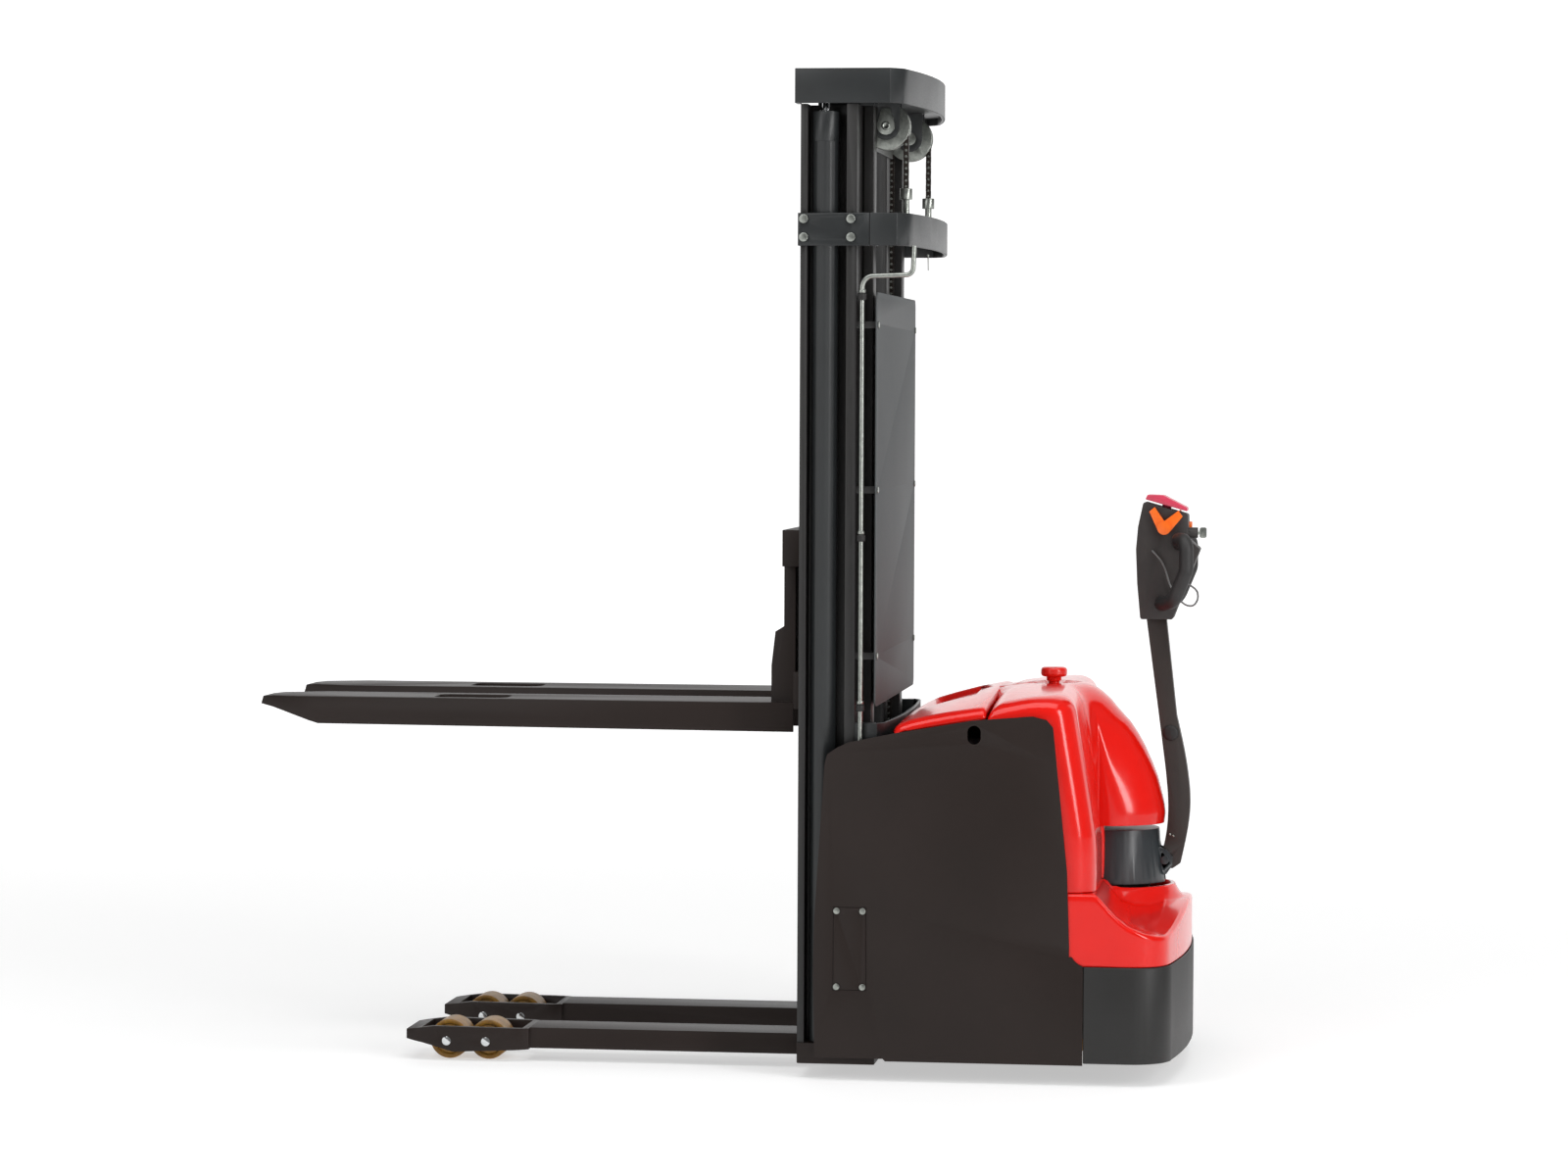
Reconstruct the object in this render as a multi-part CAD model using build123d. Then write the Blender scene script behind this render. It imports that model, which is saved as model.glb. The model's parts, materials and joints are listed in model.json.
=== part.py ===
from build123d import *
import math
import os

# Electric walkie stacker with a three-stage mast. Millimetres, +Z up.
# The truck frame has its origin on the floor under the steering axis: forks point to -X, the tiller
# is on +X, and left is +Y. export() moves every piece so that the origin is under the middle.

# overall sizes
overall_width = 850.0
wheelbase = 1330.0          # steering axis to the middle of the tandem load wheels
mast_setback = 619.0        # steering axis to the front face of the outer rails
mast_height = 2047.0        # closed
rear_overhang = 167.0       # steering axis to the back of the bumper

# chassis and covers
panel_thick = 4.0
panel_clearance_z = 42.0    # under the side panels
plate = 8.0                 # chassis plate
cover_wall = 4.0
apron_top = 241.0
apron_wall = 5.0
cover_top = 388.0           # where the lower cover meets the hood
hood_top = 795.0
hood_front = -238.0
hood_gap = 3.0              # behind the side panels
nose_radius = 110.0         # dome of the hood about the steering axis
nose_bottom = 498.0
neck_radius = 127.0
neck_top = 368.0
corner_radius = 60.0

# forks and carriage
fork_length = 1080.0        # face to tip
fork_width = 185.0
fork_spread = 572.0         # over both forks
fork_thick = 58.0
fork_wall = 7.0
fork_top = 757.0
carriage_front = -mast_setback - 24.0
fork_face = carriage_front - 50.0

# outriggers and load wheels
leg_width = 114.0
leg_top = 71.0
leg_bottom = 28.0
leg_wall = 6.0
leg_spacing = 390.0         # between leg centres
head_width = 150.0
head_plate = 14.0
load_wheel_radius = 41.0
load_wheel_width = 78.0
load_wheel_gap = 1.0
load_wheel_pitch = 2 * load_wheel_radius + load_wheel_gap
head_length = load_wheel_pitch + 2 * load_wheel_radius + 94.0
load_axle_radius = 10.0

# mast
beam_height = 70.0
rail_depth = 115.0          # front to back of an outer or middle rail
rail_web = 12.0
flange_front = 14.0
flange_rear = 21.0
outer_web_y = 330.0         # inboard face of the outer rail's web
outer_flange_in = 294.0
outer_flange_out = 392.0
outer_top = mast_height - beam_height - 1.0
middle_shift = 24.0         # the middle rail sits this far behind the outer rail
middle_web_y = 282.0
middle_flange_in = 252.0
middle_flange_out = 300.0
middle_bottom = 90.0
inner_depth = rail_depth - 42.0
inner_front = -mast_setback + 44.0
inner_web_y = 196.0         # inboard face of the inner rail's web
inner_web = 10.0
inner_flange_in = 150.0
inner_flange = 8.0
inner_bottom = 95.0
inner_top = mast_height - 92.0
beam_wall = 8.0
collar_height = 66.0
collar_top = mast_height - 291.0
collar_bottom = collar_top - collar_height
guard_bottom = hood_top - 38.0
guard_top = collar_bottom - 93.0
guard_half_width = 380.0
guard_thick = 3.0
guard_front = -mast_setback + rail_depth + 38.0

# lift cylinders
cyl_x = -mast_setback + 49.0
cyl_radius = 26.5
cyl_y = outer_web_y + rail_web + 1.5 + cyl_radius
cyl_wall = 6.5
cyl_bore = cyl_radius - cyl_wall
cyl_head_radius = cyl_radius + 1.0
beam_half_width = cyl_y + cyl_radius + 5.5
rod_radius = 14.0
rod_fit = 0.05
stud_radius = 8.0

# chains
pulley_x = -mast_setback + middle_shift + rail_depth + 19.0
pulley_z = mast_height - 108.0
pulley_y = 230.0
pulley_pitch = 39.5
pulley_radius = 48.0
pulley_width = 32.0
pulley_pin = 14.0
keeper_radius = 18.0
cheek_radius = 28.0
chain_width = 16.0
chain_thick = 11.0
running_fit = 0.05

# free lift
free_x = inner_front + 37.0
free_radius = 30.0
free_bore = 24.0
free_rod = 17.5
free_barrel_bottom = 112.0
crosshead_z = inner_top - 475.0
free_barrel_top = crosshead_z - 370.0
free_seat_top = free_barrel_top - 40.0
sheave_y = 60.0
sheave_pitch = 40.0
sheave_width = 22.0

# drive and steering
drive_wheel_radius = 120.0
drive_wheel_width = 80.0
drive_tread = 22.0
deck_z = 250.0
cone_bottom = 376.0
cone_top = 487.0
cone_radius_bottom = 111.0
cone_radius_top = 95.0
motor_radius = 78.0

# tiller
pivot_x = 108.0
pivot_z = 421.0
pivot_radius = 6.0
arm_width = 40.0
head_bottom = 925.0

slack = 1.0                 # between pieces that only sit beside each other

mast_front = -mast_setback
outer_rear = mast_front + rail_depth
middle_front = mast_front + middle_shift
middle_rear = middle_front + rail_depth
inner_rear = inner_front + inner_depth
half_width = overall_width / 2
cover_half = half_width - panel_thick - hood_gap
beam_bottom = mast_height - beam_height
load_axle_xs = (-wheelbase - load_wheel_pitch / 2, -wheelbase + load_wheel_pitch / 2)
fork_centre = (fork_spread - fork_width) / 2
leg_centre = leg_spacing / 2


def block(x0, x1, y0, y1, z0, z1):
    return Pos((x0 + x1) / 2, (y0 + y1) / 2, (z0 + z1) / 2) * Box(x1 - x0, y1 - y0, z1 - z0)


def rod_x(y, z, radius, x0, x1):
    return Pos((x0 + x1) / 2, y, z) * Rot(0, 90, 0) * Cylinder(radius, x1 - x0)


def rod_y(x, z, radius, y0, y1):
    return Pos(x, (y0 + y1) / 2, z) * Rot(90, 0, 0) * Cylinder(radius, y1 - y0)


def rod_z(x, y, radius, z0, z1):
    return Pos(x, y, (z0 + z1) / 2) * Cylinder(radius, z1 - z0)


def side_shape(outline, y0, y1):
    """A closed outline in X and Z, drawn out from y0 to y1."""
    face = make_face(outline)
    return extrude(Plane.XZ.offset(-y1) * face, amount=y1 - y0)


def side_polygon(points, y0, y1):
    return side_shape(Polyline(*points, close=True), y0, y1)


def plan_shape(outline, z0, z1):
    return extrude(Plane.XY.offset(z0) * make_face(outline), amount=z1 - z0)


def plan_polygon(points, z0, z1):
    return plan_shape(Polyline(*points, close=True), z0, z1)


def other_side(shape):
    return mirror(shape, about=Plane.XZ)


def pair(shape):
    """The piece and its twin on the other side, as separate solids."""
    return Compound(list(shape.solids()) + list(other_side(shape).solids()))


def group(shapes):
    return Compound([solid for shape in shapes for solid in shape.solids()])


# ---- chassis -------------------------------------------------------------------------------

panel_front = mast_front + 36.0
panel_rear = -36.0
panel_corner = 40.0
bulkhead_front = outer_rear + 80.0
bulkhead_drive = -232.0
floor_z = 60.0
foot_beam_rear = outer_rear + 44.0


def rear_outline(inset):
    """Half-round back of the truck in plan, from the panels' rear edge round the bumper."""
    side = half_width - inset
    rear = rear_overhang - inset
    start, corner = 50.0 - inset / 2, rear - 27.0
    corner_y = side - 85.0
    edge_a = Line((panel_rear, -side), (start, -side))
    edge_b = ThreePointArc((start, -side), (start + 62, -side + 22), (corner, -corner_y))
    edge_c = ThreePointArc((corner, -corner_y), (rear, 0), (corner, corner_y))
    edge_d = ThreePointArc((corner, corner_y), (start + 62, side - 22), (start, side))
    edge_e = Line((start, side), (panel_rear, side))
    edge_f = Line((panel_rear, side), (panel_rear, -side))
    return edge_a + edge_b + edge_c + edge_d + edge_e + edge_f


def chassis_frame():
    inside = half_width - panel_thick
    foot = block(mast_front, foot_beam_rear, -inside + 24, inside - 24, 30, 72)
    floor = block(foot_beam_rear - 12, bulkhead_drive + plate, -inside, inside, floor_z, floor_z + plate)
    narrow = cover_half - cover_wall - 10
    front = block(bulkhead_front, bulkhead_front + plate, -narrow, narrow, floor_z, 640)
    drive = block(bulkhead_drive, bulkhead_drive + plate, -narrow, narrow, floor_z, 640)
    deck = plan_polygon([(bulkhead_drive, -narrow), (0, -narrow), (80, -340), (128, -150), (128, 150),
                         (80, 340), (0, narrow), (bulkhead_drive, narrow)], deck_z, deck_z + plate)
    deck -= rod_z(0, 0, motor_radius + 14, deck_z - 1, deck_z + plate + 1)
    frame = foot + floor + front + drive + deck
    for side in (-1, 1):
        frame += block(bulkhead_drive, -60, side * 300 - 4, side * 300 + 4, floor_z, deck_z)
    return frame


def side_panel():
    """Right-hand panel with its oval lifting hole, and the access plate let into it."""
    outer, inner = -half_width, -half_width + panel_thick
    points = [(outer_rear + 64, 47), (outer_rear + 69, panel_clearance_z), (panel_rear, panel_clearance_z),
              (panel_rear, apron_top), (-64, apron_top + panel_corner), (-69, 431), (-91, 646), (-99, 723),
              (-112, 738), (-140, 745), (-263, 735), (outer_rear + 83, 707), (mast_front + 107, 688),
              (mast_front + 83, 677), (mast_front + 63, 663), (mast_front + 58, 643), (mast_front + 48, 482),
              (mast_front + 38, 322), (panel_front, 214), (mast_front + 40, 47)]
    shape = side_polygon(points, outer, inner)
    shape -= rod_y(-64 + panel_corner, apron_top + panel_corner, panel_corner, outer - 1, inner + 1)
    shape -= block(-64, panel_rear + 1, outer - 1, inner + 1, apron_top + panel_corner / 2, 290)
    hole = Pos(-258, (outer + inner) / 2, 706) * Rot(90, 0, 0) * extrude(SlotOverall(38, 27, rotation=90), panel_thick,
                                                                        both=True)
    shape -= hole
    low, high = access_front, access_front + access_length
    pocket = block(low, high, outer - 1, inner + 1, 185, 354)
    plate_piece = block(low + slack, high - slack, outer, inner, 185 + slack, 354 - slack)
    shape -= pocket
    back = block(low - 8, high + 8, inner, inner + 3, 177, 362)
    for x, z in access_screw_places:
        back -= rod_y(x, z, 3.0, inner - 1, inner + 4)
        plate_piece -= rod_y(x, z, 3.2, outer - 1, inner + 1)
    return group([shape + back, plate_piece])


access_front = mast_front + 77.0
access_length = 68.0
access_screw_places = [(x, z) for x in (access_front + 7, access_front + access_length - 8) for z in (192.0, 346.0)]
guard_screw_places = [(y, z) for y in (14 - guard_half_width, guard_half_width - 14)
                      for z in (guard_bottom + 103, (guard_bottom + guard_top) / 2 + 20, guard_top - 66)]


def cover_screws():
    """Button-head screws of the access plates and of the mast guard."""
    screws = []
    for side in (-1, 1):
        for x, z in access_screw_places:
            shank = rod_y(x, z, 3.0, *sorted((side * (half_width - 7), side * half_width)))
            head = rod_y(x, z, 6.5, *sorted((side * half_width, side * (half_width + 3))))
            screws.append(shank + head)
    for y, z in guard_screw_places:
        face = guard_front + guard_thick
        screws.append(rod_x(y, z, 3.0, guard_front - 8, face) + rod_x(y, z, 6.5, face, face + 3))
    return group(screws)


def rear_apron():
    outer = plan_shape(rear_outline(0), panel_clearance_z + 4, apron_top)
    inner = plan_shape(rear_outline(apron_wall), panel_clearance_z, apron_top + 1)
    shell = outer - inner
    shell -= block(panel_rear - 50, panel_rear + slack, -500, 500, 0, 400)
    return shell


def scoop(offset):
    """Side outline of everything under the lower cover's swept top."""
    top = cover_top - offset
    low = 306.0 - offset
    line_a = Polyline((-64 - 20, apron_top - 5), (-64 - 20, top), (-13, top))
    curve = Spline((-13, top), (28, 348 - offset), (80, 314 - offset), (rear_overhang + 20, low),
                   tangents=((1, -1.2), (1, 0)))
    line_b = Polyline((rear_overhang + 20, low), (rear_overhang + 20, apron_top - 5), (-64 - 20, apron_top - 5))
    return side_shape(line_a + curve + line_b, -500, 500)


def lower_body(inset):
    body = plan_shape(rear_outline(panel_thick + inset), apron_top - (5 if inset else -1), cover_top + 20)
    front = block(-64 - 15, panel_rear, -half_width + panel_thick + hood_gap + inset,
                  half_width - panel_thick - hood_gap - inset, apron_top - (5 if inset else -1), cover_top + 20)
    body = (body + front) & scoop(inset)
    collar = rod_z(0, 0, neck_radius - inset, deck_z + plate, neck_top + (5 if inset else 0))
    return body + (collar & block(-64 - 15 + inset, 200, -200, 200, 0, 500))


def lower_cover():
    shell = lower_body(0) - lower_body(cover_wall)
    shell -= rod_z(0, 0, neck_radius - cover_wall, deck_z - 10, 420)
    return max(shell.solids(), key=lambda solid: solid.volume)


def hood_block(inset):
    """Wide part of the hood, as the common volume of its side, plan and front outlines."""
    bottom = cover_top + 1 - (10 if inset else 0)
    side = side_polygon([(hood_front + inset, bottom), (-13 - inset, bottom), (-13 - inset, 500),
                         (-52 - inset, hood_top - 35), (-74 - inset, hood_top - inset), (-150, 788 - inset),
                         (-197, 774 - inset), (hood_front + inset, 757 - inset)], -half_width, half_width)
    half = cover_half - inset
    plan_area = Pos((hood_front - 13) / 2 - 50, 0) * RectangleRounded(-13 - hood_front + 100 - 2 * inset, 2 * half,
                                                                     corner_radius)
    plan_body = extrude(plan_area, 900)
    front_area = Pos(0, hood_top / 2 - inset / 2) * RectangleRounded(2 * half, hood_top - inset, 45)
    front_body = Pos(-100, 0, 0) * extrude(Plane.YZ * front_area, 400, both=True)
    return side & plan_body & front_body


def nose(inset):
    """Dome of revolution about the steering axis."""
    wall = inset
    low = nose_bottom + wall
    base = nose_radius - 3 - wall
    outline = Polyline((0, low), (base, low), (nose_radius - wall, 520 + wall / 2)) \
        + ThreePointArc((nose_radius - wall, 520 + wall / 2), (nose_radius - 18 - wall, 595), (33 - wall, 712 - wall)) \
        + Polyline((33 - wall, 712 - wall), (0, 735 - wall), (0, low))
    return revolve(Plane.XZ * make_face(outline), Axis.Z)


def hood():
    shell = hood_block(0) + nose(0) - hood_block(cover_wall) - nose(cover_wall)
    swing = rod_z(0, 0, 176, cover_top - 20, 900) - rod_z(0, 0, nose_radius + 1, nose_bottom - 1, 900)
    swing &= block(-26, 200, -180, 180, cover_top - 20, 900)
    cone_way = rod_z(0, 0, cone_radius_bottom + 6, cover_top - 20, nose_bottom - 2)
    shell = shell - cone_way - swing
    shell += (rod_z(0, 0, 176 + 3, cover_top + 1, 640) - rod_z(0, 0, 176, cover_top, 641)) \
        & block(-30, -17, -185, 185, cover_top, 641)
    shell -= rod_z(estop_x, 0, estop_skirt + 1, 700, 900)
    return max(shell.solids(), key=lambda solid: solid.volume)


estop_x = -128.0
estop_skirt = 15.5
estop_seat = 801.0


def estop_button():
    """Mushroom head on its stem, standing in the hood's hole."""
    stem = rod_z(estop_x, 0, 11.5, estop_seat - 31, estop_seat + 1)
    skirt = rod_z(estop_x, 0, estop_skirt, estop_seat - 9, estop_seat)
    head = rod_z(estop_x, 0, 27.5, estop_seat, estop_seat + 20)
    head = fillet(head.edges().filter_by(GeomType.CIRCLE), 7)
    return stem + skirt + head


lid_front = outer_rear + 83.0
lid_hinge_x, lid_hinge_z, lid_hinge_radius = lid_front + 3.0, 712.0, 4.5


def front_lid():
    """Battery cover, hinged along its front edge, with a recessed pull."""
    rear = hood_front - 2
    outer_points = [(lid_front, 708), (rear, 737), (rear, 768), (rear - 60, 766), (rear - 100, 752),
                    (lid_front + 31, 730), (lid_front + 3, 716)]
    body = side_polygon(outer_points, -cover_half + 6, cover_half - 6)
    inner_points = [(lid_front + 11, 700), (rear - 4, 730), (rear - 4, 762), (rear - 60, 760), (rear - 100, 746),
                    (lid_front + 33, 724)]
    body -= side_polygon(inner_points, -cover_half + 10, cover_half - 10)
    body += rod_y(lid_hinge_x, lid_hinge_z, lid_hinge_radius, -cover_half + 6, cover_half - 6)
    return max(body.solids(), key=lambda solid: solid.volume)


def battery():
    return block(bulkhead_front + plate + 5, hood_front - 6, -395, 395, floor_z + plate, 640)


def hydraulic_power_pack():
    """Tank, pump motor and valve block beside the drive motor."""
    tank = block(bulkhead_drive + plate + 2, -130, 140, 400, deck_z + plate, 520)
    motor = rod_y(-168, 575, 50, 180, 360)
    valve = block(-212, -145, 230, 300, 520, 530)
    return tank + motor + valve


def slewing_bearing():
    ring = rod_z(0, 0, motor_radius + 26, deck_z + plate, deck_z + plate + 14)
    return ring - rod_z(0, 0, motor_radius + 12, deck_z, deck_z + plate + 20)


# ---- outriggers and load wheels ------------------------------------------------------------

head_rear = -wheelbase + load_wheel_pitch / 2 + load_wheel_radius + 49.0
head_front = head_rear - head_length


def outrigger():
    """Left leg: a box beam with an open frame for the tandem wheels at its end."""
    leg = block(head_rear, mast_front, leg_centre - leg_width / 2, leg_centre + leg_width / 2, leg_bottom, leg_top)
    leg -= block(head_rear + 10, mast_front - 10, leg_centre - leg_width / 2 + leg_wall,
                 leg_centre + leg_width / 2 - leg_wall, leg_bottom + leg_wall, leg_top - leg_wall)
    half = head_width / 2
    plan = extrude(Pos((head_front + head_rear) / 2, leg_centre) * SlotOverall(head_length + half, head_width), 100)
    plan &= block(head_front - 1, head_rear, 0, 400, 0, 100)
    profile = side_polygon([(head_front, 44), (head_front + 36, 37), (head_front + 100, 19), (head_rear, 26),
                            (head_rear, leg_top - 1), (head_front + 60, leg_top + 1), (head_front, 64)], 0, 400)
    head = plan & profile
    inner = half - head_plate
    head -= block(head_front + 32, head_rear - head_plate, leg_centre - inner, leg_centre + inner, 0, 100)
    for x in load_axle_xs:
        head -= rod_y(x, load_wheel_radius, load_axle_radius, leg_centre - half - 1, leg_centre + half + 1)
    return leg + head


def load_wheel_axles():
    axles = []
    for side in (-1, 1):
        for x in load_axle_xs:
            middle = side * leg_centre
            axles.append(rod_y(x, load_wheel_radius, load_axle_radius, middle - head_width / 2 + 2,
                               middle + head_width / 2 - 2))
    return group(axles)


def load_wheel(x, side):
    """Steel core with its polyurethane tread bonded on, turning on the axle."""
    middle = side * leg_centre
    half = load_wheel_width / 2
    core = rod_y(x, load_wheel_radius, load_wheel_radius - 10, middle - half + 2, middle + half - 2)
    core -= rod_y(x, load_wheel_radius, load_axle_radius + running_fit, middle - half, middle + half)
    tread = rod_y(x, load_wheel_radius, load_wheel_radius, middle - half, middle + half)
    tread -= rod_y(x, load_wheel_radius, load_wheel_radius - 10, middle - half - 1, middle + half + 1)
    tread = fillet(tread.edges().filter_by(GeomType.CIRCLE).group_by(SortBy.RADIUS)[-1], 4)
    return group([core, tread])


# ---- outer mast ----------------------------------------------------------------------------

def channel_beam(front, web_in, flange_in, flange_out, z0, z1):
    """Rolled mast rail: a web with a front and a rear flange on both its sides."""
    web = block(front, front + rail_depth, web_in, web_in + rail_web, z0, z1)
    ahead = block(front, front + flange_front, flange_in, flange_out, z0, z1)
    behind = block(front + rail_depth - flange_rear, front + rail_depth, flange_in, flange_out, z0, z1)
    return web + ahead + behind


def outer_rails():
    """Outer rails, with the square pegs that stand the guard off their rear flanges."""
    rail = channel_beam(mast_front, outer_web_y, outer_flange_in, outer_flange_out, 72, outer_top)
    for y, z in guard_screw_places:
        if y > 0:
            peg = block(outer_rear, guard_front, y - 7, y + 7, z - 7, z + 7)
            rail += peg - rod_x(y, z, 3.0, guard_front - 8, guard_front + 1)
    for x, z in clamp_bolt_places:
        rail -= rod_y(x, z, clamp_bolt, outer_flange_out - 12, outer_flange_out + 1)
    return pair(rail)


def tie_area(side_front, corner, facet, centre_rear, half, inset, z0, z1):
    """Plan area of a bent plate round the back of the mast: straight sides, small corner facets and a bowed back."""
    y, corner_y = half - inset, half * 0.93 - inset
    corner_x = corner - inset * 0.5
    left = Polyline((side_front, y), (corner_x - facet, y), (corner_x, corner_y))
    bow = ThreePointArc((corner_x, corner_y), (centre_rear - inset, 0), (corner_x, -corner_y))
    right = Polyline((corner_x, -corner_y), (corner_x - facet, -y), (side_front, -y), (side_front, y))
    return plan_shape(left + bow + right, z0, z1)


def bowed_tie(side_front, corner, facet, centre_rear, half, wall, z0, z1):
    hollow = tie_area(side_front, corner, facet, centre_rear, half, wall, z0 - 1, z1 + 1)
    hollow += block(side_front - 5, side_front + 15, -half + wall, half - wall, z0 - 1, z1 + 1)
    return tie_area(side_front, corner, facet, centre_rear, half, 0, z0, z1) - hollow


clamp_bolt = 5.0
clamp_bolt_places = [(x, z) for x in (mast_front + 8, outer_rear - 11) for z in (collar_bottom + 17, collar_top - 12)]
collar_front = outer_rear + 27.0
collar_rear = outer_rear + 136.0
collar_corner = outer_rear + 104.0
collar_facet = 22.0


def mast_collar():
    """Tie at the top of the outer mast, with pads to the rails' rear flanges and seats for the chain ends."""
    tie = bowed_tie(collar_front, collar_corner, collar_facet, collar_rear, beam_half_width, beam_wall, collar_bottom,
                    collar_top)
    for side in (-1, 1):
        low, high = sorted((side * (outer_flange_out - 24), side * (beam_half_width - beam_wall)))
        tie += block(outer_rear, collar_front + 14, low, high, collar_bottom, collar_top)
        low, high = sorted((side * (pulley_y - 26), side * (pulley_y + 26)))
        seat = block(anchor_x - 22, anchor_x + 40, low, high, collar_top - 10, collar_top)
        tie += seat & tie_area(collar_front, collar_corner, collar_facet, collar_rear, beam_half_width, beam_wall / 2,
                               collar_bottom, collar_top)
        tie -= rod_z(anchor_x, side * pulley_y, anchor_radius, collar_bottom, collar_top + 1)
    return tie


anchor_x = pulley_x + pulley_pitch
anchor_radius = 7.0


def cylinder_clamps():
    """Front halves of the collar, which hold the lift cylinders in the rails' outboard pockets."""
    clamp = block(mast_front - 4, collar_front - slack, beam_half_width - 8, beam_half_width, collar_bottom, collar_top)
    saddle = block(cyl_x - cyl_radius - 7.5, cyl_x + cyl_radius + 7.5, outer_flange_out, beam_half_width, collar_bottom, collar_top)
    clamp += saddle
    clamp -= rod_z(cyl_x, cyl_y, cyl_radius, collar_bottom - 1, collar_top + 1)
    clamp += block(mast_front - 4, mast_front, outer_flange_in, beam_half_width, collar_bottom, collar_top)
    for x, z in clamp_bolt_places:
        clamp -= rod_y(x, z, clamp_bolt, outer_flange_out - 12, beam_half_width + 1)
    return pair(clamp)


def collar_bolts():
    bolts = []
    for x, z in clamp_bolt_places:
        shank = rod_y(x, z, clamp_bolt, outer_flange_out - 12, beam_half_width)
        head = rod_y(x, z, 9, beam_half_width, beam_half_width + 6)
        bolts.append(pair(shank + head))
    return group(bolts)


lower_tie_z = (655.0, 725.0)
cyl_head_bottom, cyl_head_top = mast_height - 146.0, mast_height - 86.0


def lower_mast_tie():
    """Bent plate behind the mast foot, welded to the outer rails' rear flanges."""
    low_z, high_z = lower_tie_z
    half = beam_half_width - 4
    tie = bowed_tie(collar_front, outer_rear + 58, 12, outer_rear + 74, half, beam_wall, low_z, high_z)
    for side in (-1, 1):
        low, high = sorted((side * (outer_flange_out - 24), side * (half - beam_wall + 1)))
        tie += block(outer_rear, collar_front + 14, low, high, low_z, high_z)
    return tie


def lift_cylinder_barrels():
    tube = rod_z(cyl_x, cyl_y, cyl_radius, 74, cyl_head_bottom)
    tube += rod_z(cyl_x, cyl_y, cyl_head_radius, cyl_head_bottom, cyl_head_top)
    tube -= rod_z(cyl_x, cyl_y, cyl_bore, 90, cyl_head_bottom)
    tube -= rod_z(cyl_x, cyl_y, rod_radius + rod_fit, cyl_head_bottom - 1, cyl_head_top + 1)
    return pair(tube)


def mast_guard():
    half = guard_half_width
    area = Pos(0, (guard_bottom + guard_top) / 2) * RectangleRounded(2 * half, guard_top - guard_bottom, 18)
    sheet = Pos(guard_front, 0, 0) * extrude(Plane.YZ * area, guard_thick)
    for y, z in guard_screw_places:
        sheet -= rod_x(y, z, 3.0, guard_front - 1, guard_front + guard_thick + 1)
    return sheet


def chain_anchors():
    """Threaded rods with their clevis blocks, which hold the fixed ends of the chains."""
    anchors = []
    for side in (-1, 1):
        y = side * pulley_y
        rod = rod_z(anchor_x, y, anchor_radius, collar_top - 32, collar_top + 40)
        nut = extrude(Pos(anchor_x, y, collar_top - 26) * RegularPolygon(12, 6), 12)
        clevis = rod_z(anchor_x, y, 13, collar_top + 34, collar_top + 56)
        anchors.append(rod + nut + clevis)
    return group(anchors)


def hydraulic_pipe():
    """Steel pipe up the right-hand rail, over to the collar's seat and up to its port."""
    y = 4 - beam_half_width
    x = outer_rear + 12.0
    port_x = x + 104.0
    bend_z = collar_bottom - 62
    route = FilletPolyline((x, y, 690), (x, y, bend_z), (port_x - 2, y + 10, bend_z + 4), (port_x, y + 10, collar_bottom),
                           radius=(22, 14))
    return sweep(Plane(route @ 0, z_dir=route % 0) * Circle(5), path=route)


# ---- middle mast ---------------------------------------------------------------------------

deck_level = mast_height - 55.0


def middle_mast():
    rail = channel_beam(middle_front, middle_web_y, middle_flange_in, middle_flange_out, middle_bottom, beam_bottom)
    tie = block(middle_rear, middle_rear + 8, -middle_flange_out, middle_flange_out, middle_bottom, middle_bottom + 70)
    return rail + other_side(rail) + tie


def top_beam():
    """Bent plate cap of the middle mast, with the deck that the cylinder rods push and the pulleys hang from."""
    half = beam_half_width
    corner, facet, rear = outer_rear + 92, 25, outer_rear + 132
    band = bowed_tie(mast_front - 11, corner, facet, rear, half, beam_wall, beam_bottom, mast_height)
    deck = tie_area(mast_front + 7, corner, facet, rear, half, beam_wall / 2, deck_level, deck_level + 10)
    deck -= block(mast_front - 20, inner_rear + 26, -middle_flange_in + 10, middle_flange_in - 10, pulley_z,
                  mast_height + 1)
    beam = band + deck
    for side in (-1, 1):
        low, high = sorted((side * (half - 46), side * half))
        beam += block(mast_front - 11, mast_front - 3, low, high, beam_bottom, mast_height)
        for inner, outer in ((pulley_width / 2 + 2, pulley_width / 2 + 7), (-pulley_width / 2 - 7, -pulley_width / 2 - 2)):
            low, high = sorted((side * (pulley_y + inner), side * (pulley_y + outer)))
            cheek = block(pulley_x - cheek_radius, pulley_x + cheek_radius, low, high, pulley_z, deck_level)
            cheek += rod_y(pulley_x, pulley_z, cheek_radius, low, high)
            cheek -= block(pulley_x - 2 * cheek_radius, middle_rear + slack, low - 1, high + 1,
                           pulley_z - cheek_radius - 1, beam_bottom)
            beam += cheek - rod_y(pulley_x, pulley_z, pulley_pin, low - 1, high + 1)
        low, high = sorted((side * middle_flange_in, side * middle_flange_out))
        beam += block(middle_front, middle_rear, low, high, beam_bottom, deck_level)
    return beam


def lift_cylinder_rods():
    shoulder = cyl_head_top + 2
    rod = rod_z(cyl_x, cyl_y, rod_radius, 560, shoulder) + rod_z(cyl_x, cyl_y, stud_radius, shoulder, deck_level)
    piston = rod_z(cyl_x, cyl_y, cyl_bore - rod_fit, 560, 600)
    return pair(rod + piston)


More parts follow.
